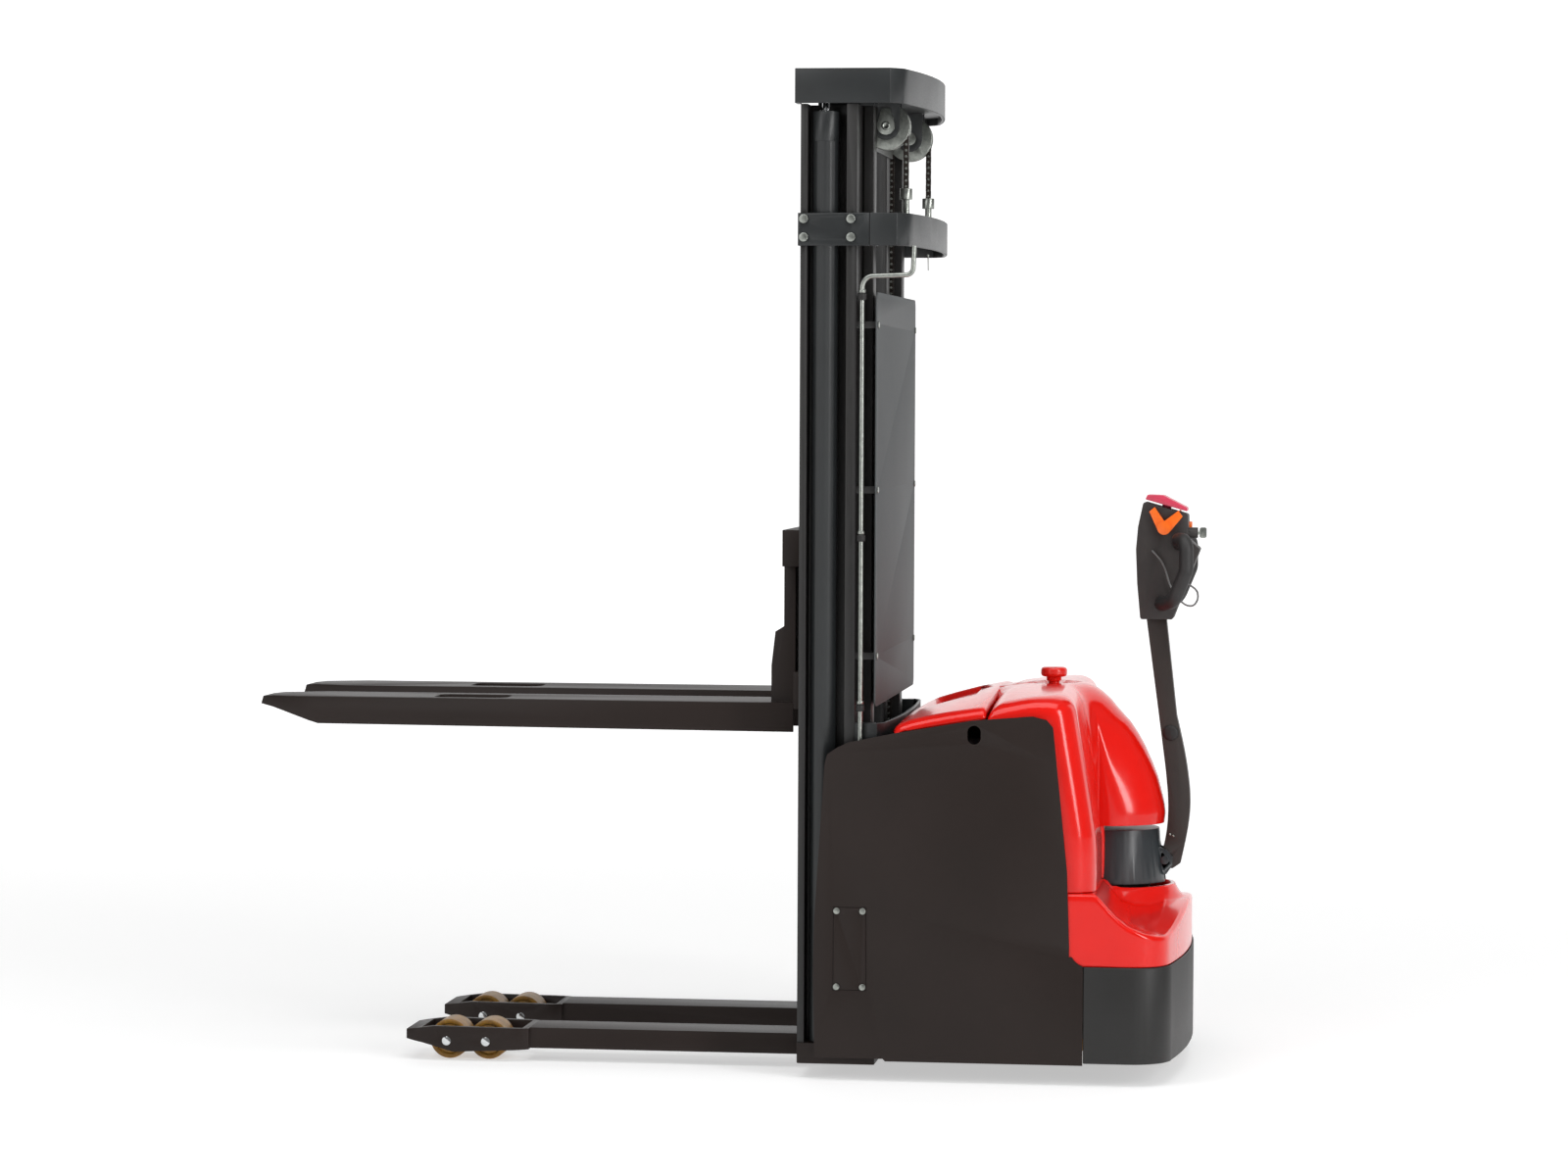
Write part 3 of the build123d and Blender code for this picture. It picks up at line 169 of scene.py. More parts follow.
def setMaterials():
    made = {}
    # Powder coat over sheet steel: a slight orange peel, soft highlights, warm brown-black.
    made["chassisPowderCoat"] = finish("chassisPowderCoat", {
        "base": "#261D1A", "other": "#211916", "mottleMm": 300, "grainMm": 2.5, "roughness": (0.42, 0.52),
        "bump": 0.12, "reliefMm": 0.08, "shader": {"Specular IOR Level": 0.25}})
    # Brushed-on enamel over rolled rails: long faint mill lines run up the rail.
    made["railEnamel"] = finish("railEnamel", {
        "base": "#252423", "other": "#1B1A1A", "mottleMm": 120, "grainMm": 4, "stretch": (1, 1, 0.08),
        "roughness": (0.34, 0.5), "bump": 0.15, "reliefMm": 0.1})
    # Semi-gloss enamel on bent plate and cylinder tubes.
    made["plateEnamel"] = finish("plateEnamel", {
        "base": "#1F2223", "other": "#1A1C1D", "mottleMm": 90, "grainMm": 3, "roughness": (0.34, 0.44),
        "bump": 0.1, "reliefMm": 0.08})
    # Matt powder coat on the thin guard: flat mid grey with almost no highlight.
    made["guardPowderCoat"] = finish("guardPowderCoat", {
        "base": "#484B4C", "other": "#424546", "mottleMm": 260, "grainMm": 2.2, "roughness": (0.6, 0.72),
        "bump": 0.15, "reliefMm": 0.06})
    # Gloss ABS covers, moulded and polished: deep red under a clear reflective skin.
    made["redGlossAbs"] = finish("redGlossAbs", {
        "base": "#E01408", "other": "#D61006", "mottleMm": 220, "grainMm": 18, "roughness": (0.16, 0.22),
        "bump": 0.02, "reliefMm": 0.1,
        "shader": {"Specular IOR Level": 0.3, "Coat Weight": 0.25, "Coat Roughness": 0.08}})
    # Moulded polyethylene bumper: fine leather-like spark texture.
    made["bumperPolyethylene"] = finish("bumperPolyethylene", {
        "base": "#1C1B1A", "other": "#181716", "mottleMm": 160, "grainMm": 1.6, "roughness": (0.48, 0.6),
        "bump": 0.3, "reliefMm": 0.12})
    # Satin moulded ABS of the steering cover.
    made["satinGreyAbs"] = finish("satinGreyAbs", {
        "base": "#2E3336", "other": "#292E31", "mottleMm": 60, "grainMm": 2, "roughness": (0.3, 0.38),
        "bump": 0.08, "reliefMm": 0.06})
    # Bright zinc plating: small crystals that scatter the highlight.
    made["zincPlate"] = finish("zincPlate", {
        "base": "#A9ACA6", "other": "#8A8E89", "mottleMm": 7, "grainMm": 1.2, "roughness": (0.24, 0.42),
        "bump": 0.15, "reliefMm": 0.05, "shader": {"Metallic": 1.0}})
    # Hard chrome over a ground rod.
    made["groundChrome"] = finish("groundChrome", {
        "base": "#D9DBDC", "other": "#CCCFD0", "mottleMm": 30, "grainMm": 2, "stretch": (1, 1, 6),
        "roughness": (0.08, 0.14), "bump": 0.03, "reliefMm": 0.03, "shader": {"Metallic": 1.0}})
    # Oiled leaf-chain steel: dark, with a wet sheen and rubbed plates.
    made["oiledChainSteel"] = finish("oiledChainSteel", {
        "base": "#2A2523", "other": "#463F3A", "mottleMm": 6, "grainMm": 1.5, "roughness": (0.3, 0.5),
        "bump": 0.2, "reliefMm": 0.08, "shader": {"Metallic": 0.8}})
    # Cast polyurethane tread: waxy amber, scuffed, a little light passes in.
    made["castPolyurethane"] = finish("castPolyurethane", {
        "base": "#9C701C", "other": "#6E4C12", "mottleMm": 16, "grainMm": 2.5, "roughness": (0.36, 0.55),
        "bump": 0.25, "reliefMm": 0.15, "shader": {"Subsurface Weight": 0.12, "Subsurface Scale": 0.004}})
    # Machined cast iron of cores and hubs.
    made["machinedCastIron"] = finish("machinedCastIron", {
        "base": "#57524C", "other": "#45413D", "mottleMm": 10, "grainMm": 1.2, "roughness": (0.4, 0.58),
        "bump": 0.25, "reliefMm": 0.1, "shader": {"Metallic": 0.7}})
    # Satin powder coat of the tiller tube.
    made["tillerPowderCoat"] = finish("tillerPowderCoat", {
        "base": "#2B231F", "other": "#241D1A", "mottleMm": 80, "grainMm": 2, "roughness": (0.4, 0.52),
        "bump": 0.15, "reliefMm": 0.07})
    # Glass-filled nylon of the control head: dull with a fine grain.
    made["headNylon"] = finish("headNylon", {
        "base": "#2B2624", "other": "#25201F", "mottleMm": 30, "grainMm": 1.1, "roughness": (0.46, 0.6),
        "bump": 0.3, "reliefMm": 0.1})
    # Soft-touch rubber over the grip loops.
    made["gripRubber"] = finish("gripRubber", {
        "base": "#262424", "other": "#1E1D1D", "mottleMm": 20, "grainMm": 1.0, "roughness": (0.5, 0.64),
        "bump": 0.35, "reliefMm": 0.12})
    # Glossy moulded acetal parts in their three signal colours.
    made["bellyRedAcetal"] = finish("bellyRedAcetal", {
        "base": "#D24460", "other": "#C23A52", "mottleMm": 24, "grainMm": 6, "roughness": (0.26, 0.34),
        "bump": 0.04, "reliefMm": 0.05})
    made["orangeAcetal"] = finish("orangeAcetal", {
        "base": "#F26E16", "other": "#E8640E", "mottleMm": 20, "grainMm": 5, "roughness": (0.28, 0.36),
        "bump": 0.05, "reliefMm": 0.05})
    made["stopRedAcetal"] = finish("stopRedAcetal", {
        "base": "#E3241A", "other": "#D81E14", "mottleMm": 24, "grainMm": 6, "roughness": (0.22, 0.3),
        "bump": 0.04, "reliefMm": 0.05})
    # PVC sheath of the thin lead.
    made["greyPvc"] = finish("greyPvc", {
        "base": "#6C6C6C", "other": "#5E5E5E", "mottleMm": 12, "grainMm": 1.5, "roughness": (0.4, 0.5),
        "bump": 0.1, "reliefMm": 0.04})
    # Neoprene caps and pipe clips.
    made["blackNeoprene"] = finish("blackNeoprene", {
        "base": "#191717", "other": "#121111", "mottleMm": 14, "grainMm": 1.0, "roughness": (0.5, 0.65),
        "bump": 0.2, "reliefMm": 0.06})
    return made


# One piece with one material, riding on a body and standing for the CAD nodes it replaces.
def addPiece(name, mesh, body, material, replaced=()):
    piece = bpy.data.objects.new(name, mesh)
    bpy.context.scene.collection.objects.link(piece)
    mesh.materials.clear()
    mesh.materials.append(materials[material])
    for polygon in mesh.polygons:
        polygon.use_smooth = True
    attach(piece, body)
    if replaced:
        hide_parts(*replaced)
    return piece


def meshFrom(name, verts, faces):
    mesh = bpy.data.meshes.new(name)
    mesh.from_pydata([tuple(v) for v in verts], [], faces)
    mesh.validate()
    mesh.update()
    return mesh


def applyModifiers(piece):
    graph = bpy.context.evaluated_depsgraph_get()
    done = bpy.data.meshes.new_from_object(piece.evaluated_get(graph))
    piece.modifiers.clear()
    piece.data = done
    for polygon in done.polygons:
        polygon.use_smooth = True


# Rows of points joined into a sheet of quads.
def gridMesh(name, rows, closeRows=False, closeColumns=False):
    count = len(rows[0])
    verts = [point for row in rows for point in row]
    faces = []
    rowCount = len(rows)
    for r in range(rowCount if closeRows else rowCount - 1):
        for c in range(count if closeColumns else count - 1):
            a, b = r * count + c, r * count + (c + 1) % count
            d, e = ((r + 1) % rowCount) * count + c, ((r + 1) % rowCount) * count + (c + 1) % count
            faces.append((a, b, e, d))
    return meshFrom(name, verts, faces)


def solidify(piece, thickMm, offset=-1):
    thick = piece.modifiers.new("wall", "SOLIDIFY")
    thick.thickness, thick.offset = thickMm * mm, offset
    applyModifiers(piece)


def bevelEdges(piece, widthMm, segments=3, angle=30):
    soft = piece.modifiers.new("edge", "BEVEL")
    soft.width, soft.segments, soft.limit_method = widthMm * mm, segments, "ANGLE"
    soft.angle_limit, soft.harden_normals = math.radians(angle), True
    applyModifiers(piece)


# A CAD node again, with its sharp edges eased as a paint film or a mould eases them.
def easedNode(node, widthMm, material, segments=2):
    source = frame["nodes"][node]
    shape = bmesh.new()
    shape.from_mesh(source.data)
    bmesh.ops.remove_doubles(shape, verts=shape.verts, dist=1e-5)
    bmesh.ops.dissolve_limit(shape, angle_limit=math.radians(1.5), verts=shape.verts, edges=shape.edges)
    mesh = bpy.data.meshes.new(node + ".eased")
    shape.to_mesh(mesh)
    shape.free()
    piece = addPiece(node + ".eased", mesh, body_of(source)[0], material, (node,))
    bevelEdges(piece, widthMm, segments)
    return piece


print("materials")
materials = setMaterials()
# For each node: its material, its slot, and how wide its edges are eased in millimetres.
nodeLooks = {
    "chassis_frame": ("chassisPowderCoat", "chassis_black", 2.5),
    "side_panel_right": ("chassisPowderCoat", "chassis_black", 1.6),
    "side_panel_left": ("chassisPowderCoat", "chassis_black", 1.6),
    "cover_screws": ("zincPlate", "zinc_steel", 0.6),
    "rear_apron": ("bumperPolyethylene", "bumper_grey", 5.0),
    "battery": ("plateEnamel", "battery_case", 3.0),
    "hydraulic_power_pack": ("plateEnamel", "motor_paint", 2.0),
    "slewing_bearing": ("groundChrome", "ground_steel", 0.8),
    "outrigger_left": ("chassisPowderCoat", "chassis_black", 2.2),
    "outrigger_right": ("chassisPowderCoat", "chassis_black", 2.2),
    "load_wheel_axles": ("groundChrome", "ground_steel", 0.8),
    "outer_rails": ("railEnamel", "mast_black", 1.8),
    "mast_collar": ("plateEnamel", "mast_black", 1.8),
    "lower_mast_tie": ("plateEnamel", "mast_black", 1.8),
    "cylinder_clamps": ("plateEnamel", "mast_black", 1.2),
    "collar_bolts": ("zincPlate", "zinc_steel", 0.7),
    "lift_cylinder_barrels": ("plateEnamel", "mast_black", 1.5),
    "mast_guard": ("guardPowderCoat", "guard_grey", 0.8),
    "chain_anchors": ("zincPlate", "zinc_steel", 0.7),
    "hydraulic_pipe": ("zincPlate", "zinc_steel", 0.0),
    "middle_mast": ("railEnamel", "mast_black", 1.8),
    "top_beam": ("plateEnamel", "mast_black", 2.2),
    "lift_cylinder_rods": ("groundChrome", "ground_steel", 1.0),
    "pulley_keepers": ("zincPlate", "zinc_steel", 0.8),
    "middle_mast_rollers": ("machinedCastIron", "cast_core", 1.0),
    "chain_pulleys": ("zincPlate", "zinc_steel", 0.9),
    "inner_mast": ("railEnamel", "mast_black", 1.8),
    "inner_mast_rollers": ("machinedCastIron", "cast_core", 1.0),
    "free_lift_barrel": ("plateEnamel", "mast_black", 1.5),
    "crosshead": ("groundChrome", "ground_steel", 1.5),
    "free_lift_sheaves": ("machinedCastIron", "cast_core", 0.9),
    "carriage_frame": ("chassisPowderCoat", "chassis_black", 2.0),
    "carriage_rollers": ("machinedCastIron", "cast_core", 1.0),
    "fork_left": ("chassisPowderCoat", "chassis_black", 2.4),
    "fork_right": ("chassisPowderCoat", "chassis_black", 2.4),
    "drive_gearbox": ("machinedCastIron", "cast_core", 2.5),
    "traction_motor": ("plateEnamel", "motor_paint", 1.0),
    "steering_cone": ("satinGreyAbs", "cone_grey", 2.0),
    "drive_wheel_hub": ("machinedCastIron", "cast_core", 1.5),
    "drive_wheel_tread": ("castPolyurethane", "polyurethane", 4.0),
    "load_wheel_left_front": ("castPolyurethane", "polyurethane", 3.0),
    "load_wheel_left_rear": ("castPolyurethane", "polyurethane", 3.0),
    "load_wheel_right_front": ("castPolyurethane", "polyurethane", 3.0),
    "load_wheel_right_rear": ("castPolyurethane", "polyurethane", 3.0),
    "tiller_arm": ("tillerPowderCoat", "arm_black", 7.0),
    "tiller_head": ("headNylon", "head_plastic", 7.0),
    "tiller_grips": ("gripRubber", "grip_rubber", 0.0),
    "belly_switch": ("bellyRedAcetal", "belly_red", 3.0),
    "butterfly_knob": ("orangeAcetal", "knob_orange", 2.0),
    "horn_button": ("orangeAcetal", "knob_orange", 0.8),
    "ignition_key": ("zincPlate", "zinc_steel", 0.5),
    "estop_button": ("stopRedAcetal", "stop_red", 2.5),
}


def easeNodes():
    for node, (material, slot, width) in nodeLooks.items():
        if width > 0:
            easedNode(node, width, material)
        else:
            mesh = frame["nodes"][node].data
            mesh.materials.clear()
            mesh.materials.append(materials[material])
            for polygon in mesh.polygons:
                polygon.use_smooth = True


# Rounds the place where two outlines meet: k is about 1.2 times the radius.
def smoothMax(a, b, k):
    near = np.clip(k - np.abs(a - b), 0, None) / k
    return np.maximum(a, b) + near * near * k / 4


def smoothMin(a, b, k):
    return -smoothMax(-a, -b, k)


def curveThrough(places, value):
    return np.interp(value, [p[0] for p in places], [p[1] for p in places])


hoodLook = {
    "half": 410.0, "front": -236.0, "bottom": 389.0, "noseBottom": 498.0, "wall": 4.0,
    "rearFace": [(380, -13), (470, -13), (500, -15), (560, -24), (620, -34), (690, -46), (760, -58), (800, -66)],
    "noseTip": [(498, 106), (518, 109.5), (540, 106), (595, 92), (625, 80), (660, 64), (685, 50), (710, 33), (735, 9),
                (753, -8), (770, -27), (790, -48), (810, -75)],
    "noseRadius": [(498, 106), (518, 109.5), (560, 106), (660, 96), (740, 88), (800, 84)],
    "top": [(-240, 779), (-202, 786), (-150, 790), (-60, 790.5), (0, 790)],
    "drop": [(-240, 24), (-200, 19), (-150, 12), (-100, 8), (0, 6)],
    "ringIn": 112, "ringOut": 178, "ringFront": -27,
    "shoulder": 68.0, "topEdge": 40.0, "valley": 78.0, "dish": 5.0, "dishRadius": 44.0, "buttonX": -128.0}


def hoodField(x, y, z):
    look = hoodLook
    wide = np.abs(y)
    roof = curveThrough(look["top"], x) - curveThrough(look["drop"], x) * (wide / look["half"]) ** 2.4
    fromButton = np.hypot(x - look["buttonX"], y)
    roof = roof - look["dish"] * np.clip(1.25 - fromButton / look["dishRadius"], 0, 0.25) * 4
    rear = x - curveThrough(look["rearFace"], z)
    body = smoothMax(smoothMax(rear, wide - look["half"], look["shoulder"]), look["front"] - x, 4)
    tip, radius = curveThrough(look["noseTip"], z), curveThrough(look["noseRadius"], z)
    nose = np.hypot(np.clip(x - (tip - radius), 0, None), y) - radius
    nose = np.where(z < look["noseBottom"], 1e3, nose)
    merged = smoothMin(body, nose, look["valley"])
    merged = np.where(z < look["noseBottom"], body, merged)
    # The ring in which the tiller swings round.
    reach = np.hypot(x, y)
    ring = np.maximum(np.maximum(look["ringIn"] - reach, reach - look["ringOut"]), look["ringFront"] - x)
    merged = smoothMax(merged, -ring, 10)
    return smoothMax(merged, z - roof, look["topEdge"])


def hitSkin(field, start, direction, far):
    low, high = np.zeros(len(start)), np.full(len(start), float(far))
    for _ in range(34):
        middle = (low + high) / 2
        place = start + direction * middle[:, None]
        inside = field(place[:, 0], place[:, 1], place[:, 2]) < 0
        low, high = np.where(inside, middle, low), np.where(inside, high, middle)
    return start + direction * low[:, None]


def addHood():
    look = hoodLook
    # More rays towards the corners, where the outline turns fastest.
    corners = [math.degrees(math.atan2(390, 80)), math.degrees(math.atan2(112, 92)), 0.0,
               math.degrees(math.atan2(390, -118))]
    marks = np.linspace(0, 180, 721)
    weight = 0.35 + sum(np.exp(-((marks - c) / 7) ** 2) for c in corners)
    total = np.concatenate([[0], np.cumsum((weight[1:] + weight[:-1]) / 2)])
    half = np.radians(np.interp(np.linspace(0, total[-1], 131), total, marks))
    angles = np.concatenate([half, 2 * math.pi - half[-2:0:-1]])
    flat = np.stack([np.cos(angles), np.sin(angles), np.zeros(len(angles))], axis=1)
    middleX, splitZ = -118.0, 690.0
    levels = np.concatenate([[look["bottom"], look["bottom"] + 2], np.linspace(396, 496, 12), [497.9, 498.0, 499.5],
                             np.linspace(503, splitZ, 30)])
    rows = []
    for level in levels:
        start = np.tile([middleX, 0.0, level], (len(angles), 1))
        rows.append(hitSkin(hoodField, start, flat, 700))
    reach = np.linalg.norm(rows[-1] - np.array([middleX, 0, splitZ]), axis=1)
    for lift in np.radians(np.concatenate([np.linspace(3, 60, 24), np.linspace(63, 87, 9)])):
        direction = flat * (reach * math.cos(lift))[:, None]
        direction[:, 2] = 102 * math.sin(lift)
        start = np.tile([middleX, 0.0, splitZ], (len(angles), 1))
        rows.append(hitSkin(hoodField, start, direction, 3))
    points = [[at(*place) for place in row] for row in rows]
    mesh = gridMesh("hoodShell", points, closeColumns=True)
    shape = bmesh.new()
    shape.from_mesh(mesh)
    shape.verts.ensure_lookup_table()
    count = len(angles)
    last = shape.verts[(len(rows) - 1) * count:]
    shape.faces.new(list(last))
    limit = at(look["front"] + 1, 0, 0).x
    gone = [face for face in shape.faces if all(v.co.x < limit for v in face.verts)]
    bmesh.ops.delete(shape, geom=gone, context="FACES")
    bmesh.ops.recalc_face_normals(shape, faces=shape.faces)
    shape.to_mesh(mesh)
    shape.free()
    piece = addPiece("hoodShell", mesh, "chassis", "redGlossAbs", ("hood",))
    solidify(piece, look["wall"])


lidLook = {"front": -421.0, "rear": -240.0, "half": 410.0, "foot": 708.0, "rise": 0.16, "corner": 22.0, "wall": 4.0,
           "top": [(-421, 715), (-417, 723), (-408, 730), (-387, 740), (-350, 752), (-301, 766), (-260, 775),
                   (-245, 778), (-240, 777)],
           "drop": [(-421, 7), (-380, 12), (-300, 20), (-240, 24)],
           "pull": {"x": -335.0, "y": 0.0, "long": 62.0, "wide": 190.0, "depth": 13.0, "edge": 26.0}}


def lidHeight(x, y):
    look = lidLook
    roof = curveThrough(look["top"], x) - curveThrough(look["drop"], x) * (abs(y) / look["half"]) ** 2.4
    side = max(abs(y) - (look["half"] - look["corner"]), 0) / look["corner"]
    roof -= 14 * (1 - math.sqrt(max(1 - side * side, 0)))
    pull = look["pull"]
    out = math.hypot(max(abs(x - pull["x"]) - pull["long"] + pull["edge"], 0),
                     max(abs(y - pull["y"]) - pull["wide"] + pull["edge"], 0)) - pull["edge"]
    into = min(max((-out) / 14, 0), 1)
    return roof - pull["depth"] * into * into * (3 - 2 * into)


def addLid():
    look = lidLook
    xs = np.concatenate([np.linspace(look["front"], -404, 7), np.linspace(-400, look["rear"] - 2, 40),
                         [look["rear"]]])
    inner = np.linspace(-look["half"] + 24, look["half"] - 24, 131)
    edge = look["half"] - look["corner"] + look["corner"] * np.sin(np.radians([0, 20, 40, 55, 68, 79, 86, 90]))
    ys = np.concatenate([-edge[::-1], inner, edge])
    rows = []
    for x in xs:
        heights = [lidHeight(x, y) for y in ys]
        row = [at(x, y, z) for y, z in zip(ys, heights)]
        foot = look["foot"] + (x - look["front"]) * look["rise"]
        rows.append([at(x, ys[0], foot)] + row + [at(x, ys[-1], foot)])
    for first, x in ((True, xs[0]), (False, xs[-1])):
        foot = look["foot"] + 0.5 + (x - look["front"]) * look["rise"]
        source = rows[0] if first else rows[-1]
        skirt = [Vector((v.x, v.y, (at(0, 0, foot)).z)) for v in source]
        rows.insert(0, skirt) if first else rows.append(skirt)
    piece = addPiece("lidShell", gridMesh("lidShell", rows), "battery_lid", "redGlossAbs",
                     ("front_lid",))
    solidify(piece, look["wall"])


coverLook = {"half": 421.0, "front": -79.0, "bottom": 242.0, "hole": 121.0, "neckTop": 371.0, "neck": 129.0,
             "wall": 4.0, "corner": 74.0, "brim": 9,
             "crest": [(-80, 388), (-13, 388), (-4, 380), (12, 361), (28, 344), (52, 325), (85, 310), (115, 303),
                       (170, 300)]}


def coverEdge(x, y, z):
    look = coverLook
    back = x - (163 - 27 * (y / 340) ** 2)
    return np.maximum(smoothMax(np.abs(y) - look["half"], back, look["corner"]), look["front"] - x)


def coverHeight(x, y):
    look = coverLook
    reach = math.hypot(x, y)
    crest = float(curveThrough(look["crest"], x))
    centre = 44 * max(1 - (y / 370) ** 2, 0) ** 1.5 * min(max((x - 20) / 90, 0), 1)
    neck = look["neckTop"] - 2.6 * max(reach - look["neck"], 0) if x > -79 else 0
    top = float(smoothMax(np.array(crest + centre), np.array(neck), 34.0))
    return min(top, 388.5) if x < -13 else min(top, max(crest, look["neckTop"]) + 4)


# The shelf under the steering cover: upright wall, eased brim, and a top that sweeps up to the neck.
def addLowerCover():
    look = coverLook
    brim = look["brim"]
    angles = np.linspace(0, 2 * math.pi, 360, endpoint=False)
    flat = np.stack([np.cos(angles), np.sin(angles), np.zeros(len(angles))], axis=1)
    rim = hitSkin(coverEdge, np.zeros((len(angles), 3)), flat, 700)
    hole = [min(look["hole"], 78 / max(-math.cos(a), 1e-6)) if math.cos(a) < 0 else look["hole"] for a in angles]
    tops = [coverHeight(x, y) for x, y, _ in rim]
    rows = []
    for share in (0, 0.03, 0.2, 0.4, 0.6, 0.8, 0.93, 1):
        rows.append([at(x, y, look["bottom"] + share * (top - brim - look["bottom"]))
                     for (x, y, _), top in zip(rim, tops)])
    for turn in (22, 45, 67, 90):  # the brim turns over on its own radius
        s, c = math.sin(math.radians(turn)), math.cos(math.radians(turn))
        row = []
        for (x, y, _), top in zip(rim, tops):
            scale = 1 - brim * (1 - c) / math.hypot(x, y)
            row.append(at(x * scale, y * scale, top - brim * (1 - s)))
        rows.append(row)
    steps = np.linspace(0.02, 1, 40) ** 1.1
    for step in steps:
        row = []
        for angle, (x, y, _), inner in zip(angles, rim, hole):
            start = 1 - brim / math.hypot(x, y)
            px = x * start * (1 - step) + inner * math.cos(angle) * step
            py = y * start * (1 - step) + inner * math.sin(angle) * step
            row.append(at(px, py, coverHeight(px, py)))
        rows.append(row)
    rows.append([v - Vector((0, 0, 0.03)) for v in rows[-1]])
    mesh = gridMesh("shelfCover", rows, closeColumns=True)
    shape = bmesh.new()
    shape.from_mesh(mesh)
    limit = at(look["front"] + 1.5, 0, 0).x
    gone = [face for face in shape.faces if all(v.co.x < limit for v in face.verts)]
    bmesh.ops.delete(shape, geom=gone, context="FACES")
    bmesh.ops.recalc_face_normals(shape, faces=shape.faces)
    shape.to_mesh(mesh)
    shape.free()
    piece = addPiece("shelfCover", mesh, "chassis", "redGlossAbs", ("lower_cover",))
    solidify(piece, look["wall"])


# A shape turned about a line: pairs of radius and distance along it, in millimetres.
def turned(name, centre, axis, profile, body, material, sides=40):
    along = Vector(axis).normalized()
    across = along.orthogonal().normalized()
    other = along.cross(across)
    base = at(*centre)
    rows = []
    for radius, reach in profile:
        row = []
        for i in range(sides):
            angle = 2 * math.pi * i / sides
            row.append(base + (along * reach + (across * math.cos(angle) + other * math.sin(angle)) * radius) * mm)
        rows.append(row)
    mesh = gridMesh(name, rows, closeColumns=True)
    shape = bmesh.new()
    shape.from_mesh(mesh)
    bmesh.ops.remove_doubles(shape, verts=shape.verts, dist=1e-6)
    bmesh.ops.recalc_face_normals(shape, faces=shape.faces)
    shape.to_mesh(mesh)
    shape.free()
    return addPiece(name, mesh, body, material)


chainLook = {"pitch": 12.7, "plateHigh": 10.5, "plateThick": 2.3, "layers": 6, "pinRadius": 2.6, "pinOut": 0.8,
             "pinSides": 10, "mastWidth": 16, "freeWidth": 14, "travel": 1250, "easeLow": 60, "easeHigh": 32,
             "mastY": 230.0, "mastWheel": (-461.0, 1939.0, 39.5), "lug": 170.0, "clevis": 1812.0,
             "freeY": 60.0, "freeWheel": (-538.0, 1480.0, 40.0), "freeFoot": 1070.0,
             "carriageLug": 900.0}


# Leaf chain along a line of pins in one upright plane, each joint with a rivet whose ends are rubbed bright.
def chainPiece(name, pins, y, width):
    look = chainLook
    verts, faces = [], []
    half = look["plateHigh"] / 2
    step = width / look["layers"]
    for i in range(len(pins) - 1):
        start, end = Vector(pins[i]), Vector(pins[i + 1])
        along = (end - start).normalized()
        side = Vector((-along.y, along.x))
        outline = []
        for k in range(6):
            a = math.radians(-90 + 36 * k)
            outline.append(end + along * math.cos(a) * half + side * math.sin(a) * half)
        for k in range(6):
            a = math.radians(90 + 36 * k)
            outline.append(start + along * math.cos(a) * half + side * math.sin(a) * half)
        for layer in range(look["layers"]):
            if (layer + i) % 2:
                continue
            low = y - width / 2 + layer * step + 0.15
            first = len(verts)
            for place in outline:
                verts.append(at(place.x, low, place.y))
            for place in outline:
                verts.append(at(place.x, low + look["plateThick"], place.y))
            count = len(outline)
            faces.append(tuple(range(first, first + count)))
            faces.append(tuple(range(first + 2 * count - 1, first + count - 1, -1)))
            for k in range(count):
                n = (k + 1) % count
                faces.append((first + k, first + count + k, first + count + n, first + n))
    plateCount = len(faces)
    rings = ((0.0, -0.5), (0.75, -0.5), (1.0, 0.2), (1.0, 1.0))
    reach = width / 2 + look["pinOut"]
    sides = look["pinSides"]
    for pin in pins:
        for end in (-1, 1):
            base = len(verts)
            for share, inward in rings:
                for k in range(sides):
                    a = 2 * math.pi * k / sides
                    verts.append(at(pin[0] + math.cos(a) * share * look["pinRadius"], y + end * (reach - inward),
                                    pin[1] + math.sin(a) * share * look["pinRadius"]))
            for r in range(len(rings) - 1):
                for k in range(sides):
                    n = (k + 1) % sides
                    low, high = base + r * sides, base + (r + 1) * sides
                    quad = (low + k, low + n, high + n, high + k)
                    faces.append(quad if end < 0 else quad[::-1])
    mesh = bpy.data.meshes.new(name)
    mesh.from_pydata([tuple(v) for v in verts], [], faces)
    mesh.materials.append(materials["oiledChainSteel"])
    mesh.materials.append(materials["zincPlate"])
    for index, polygon in enumerate(mesh.polygons):
        polygon.material_index = 1 if index >= plateCount else 0
    piece = bpy.data.objects.new(name, mesh)
    bpy.context.scene.collection.objects.link(piece)
    return piece


def straightPins(x, low, high):
    count = max(int(round((high - low) / chainLook["pitch"])), 2)
    return [(x, low + (high - low) * i / count) for i in range(count + 1)]


def arcPins(wheel):
    x, z, radius = wheel
    count = int(round(math.pi * radius / chainLook["pitch"]))
    return [(x - radius * math.cos(math.pi * i / count), z + radius * math.sin(math.pi * i / count))
            for i in range(count + 1)]


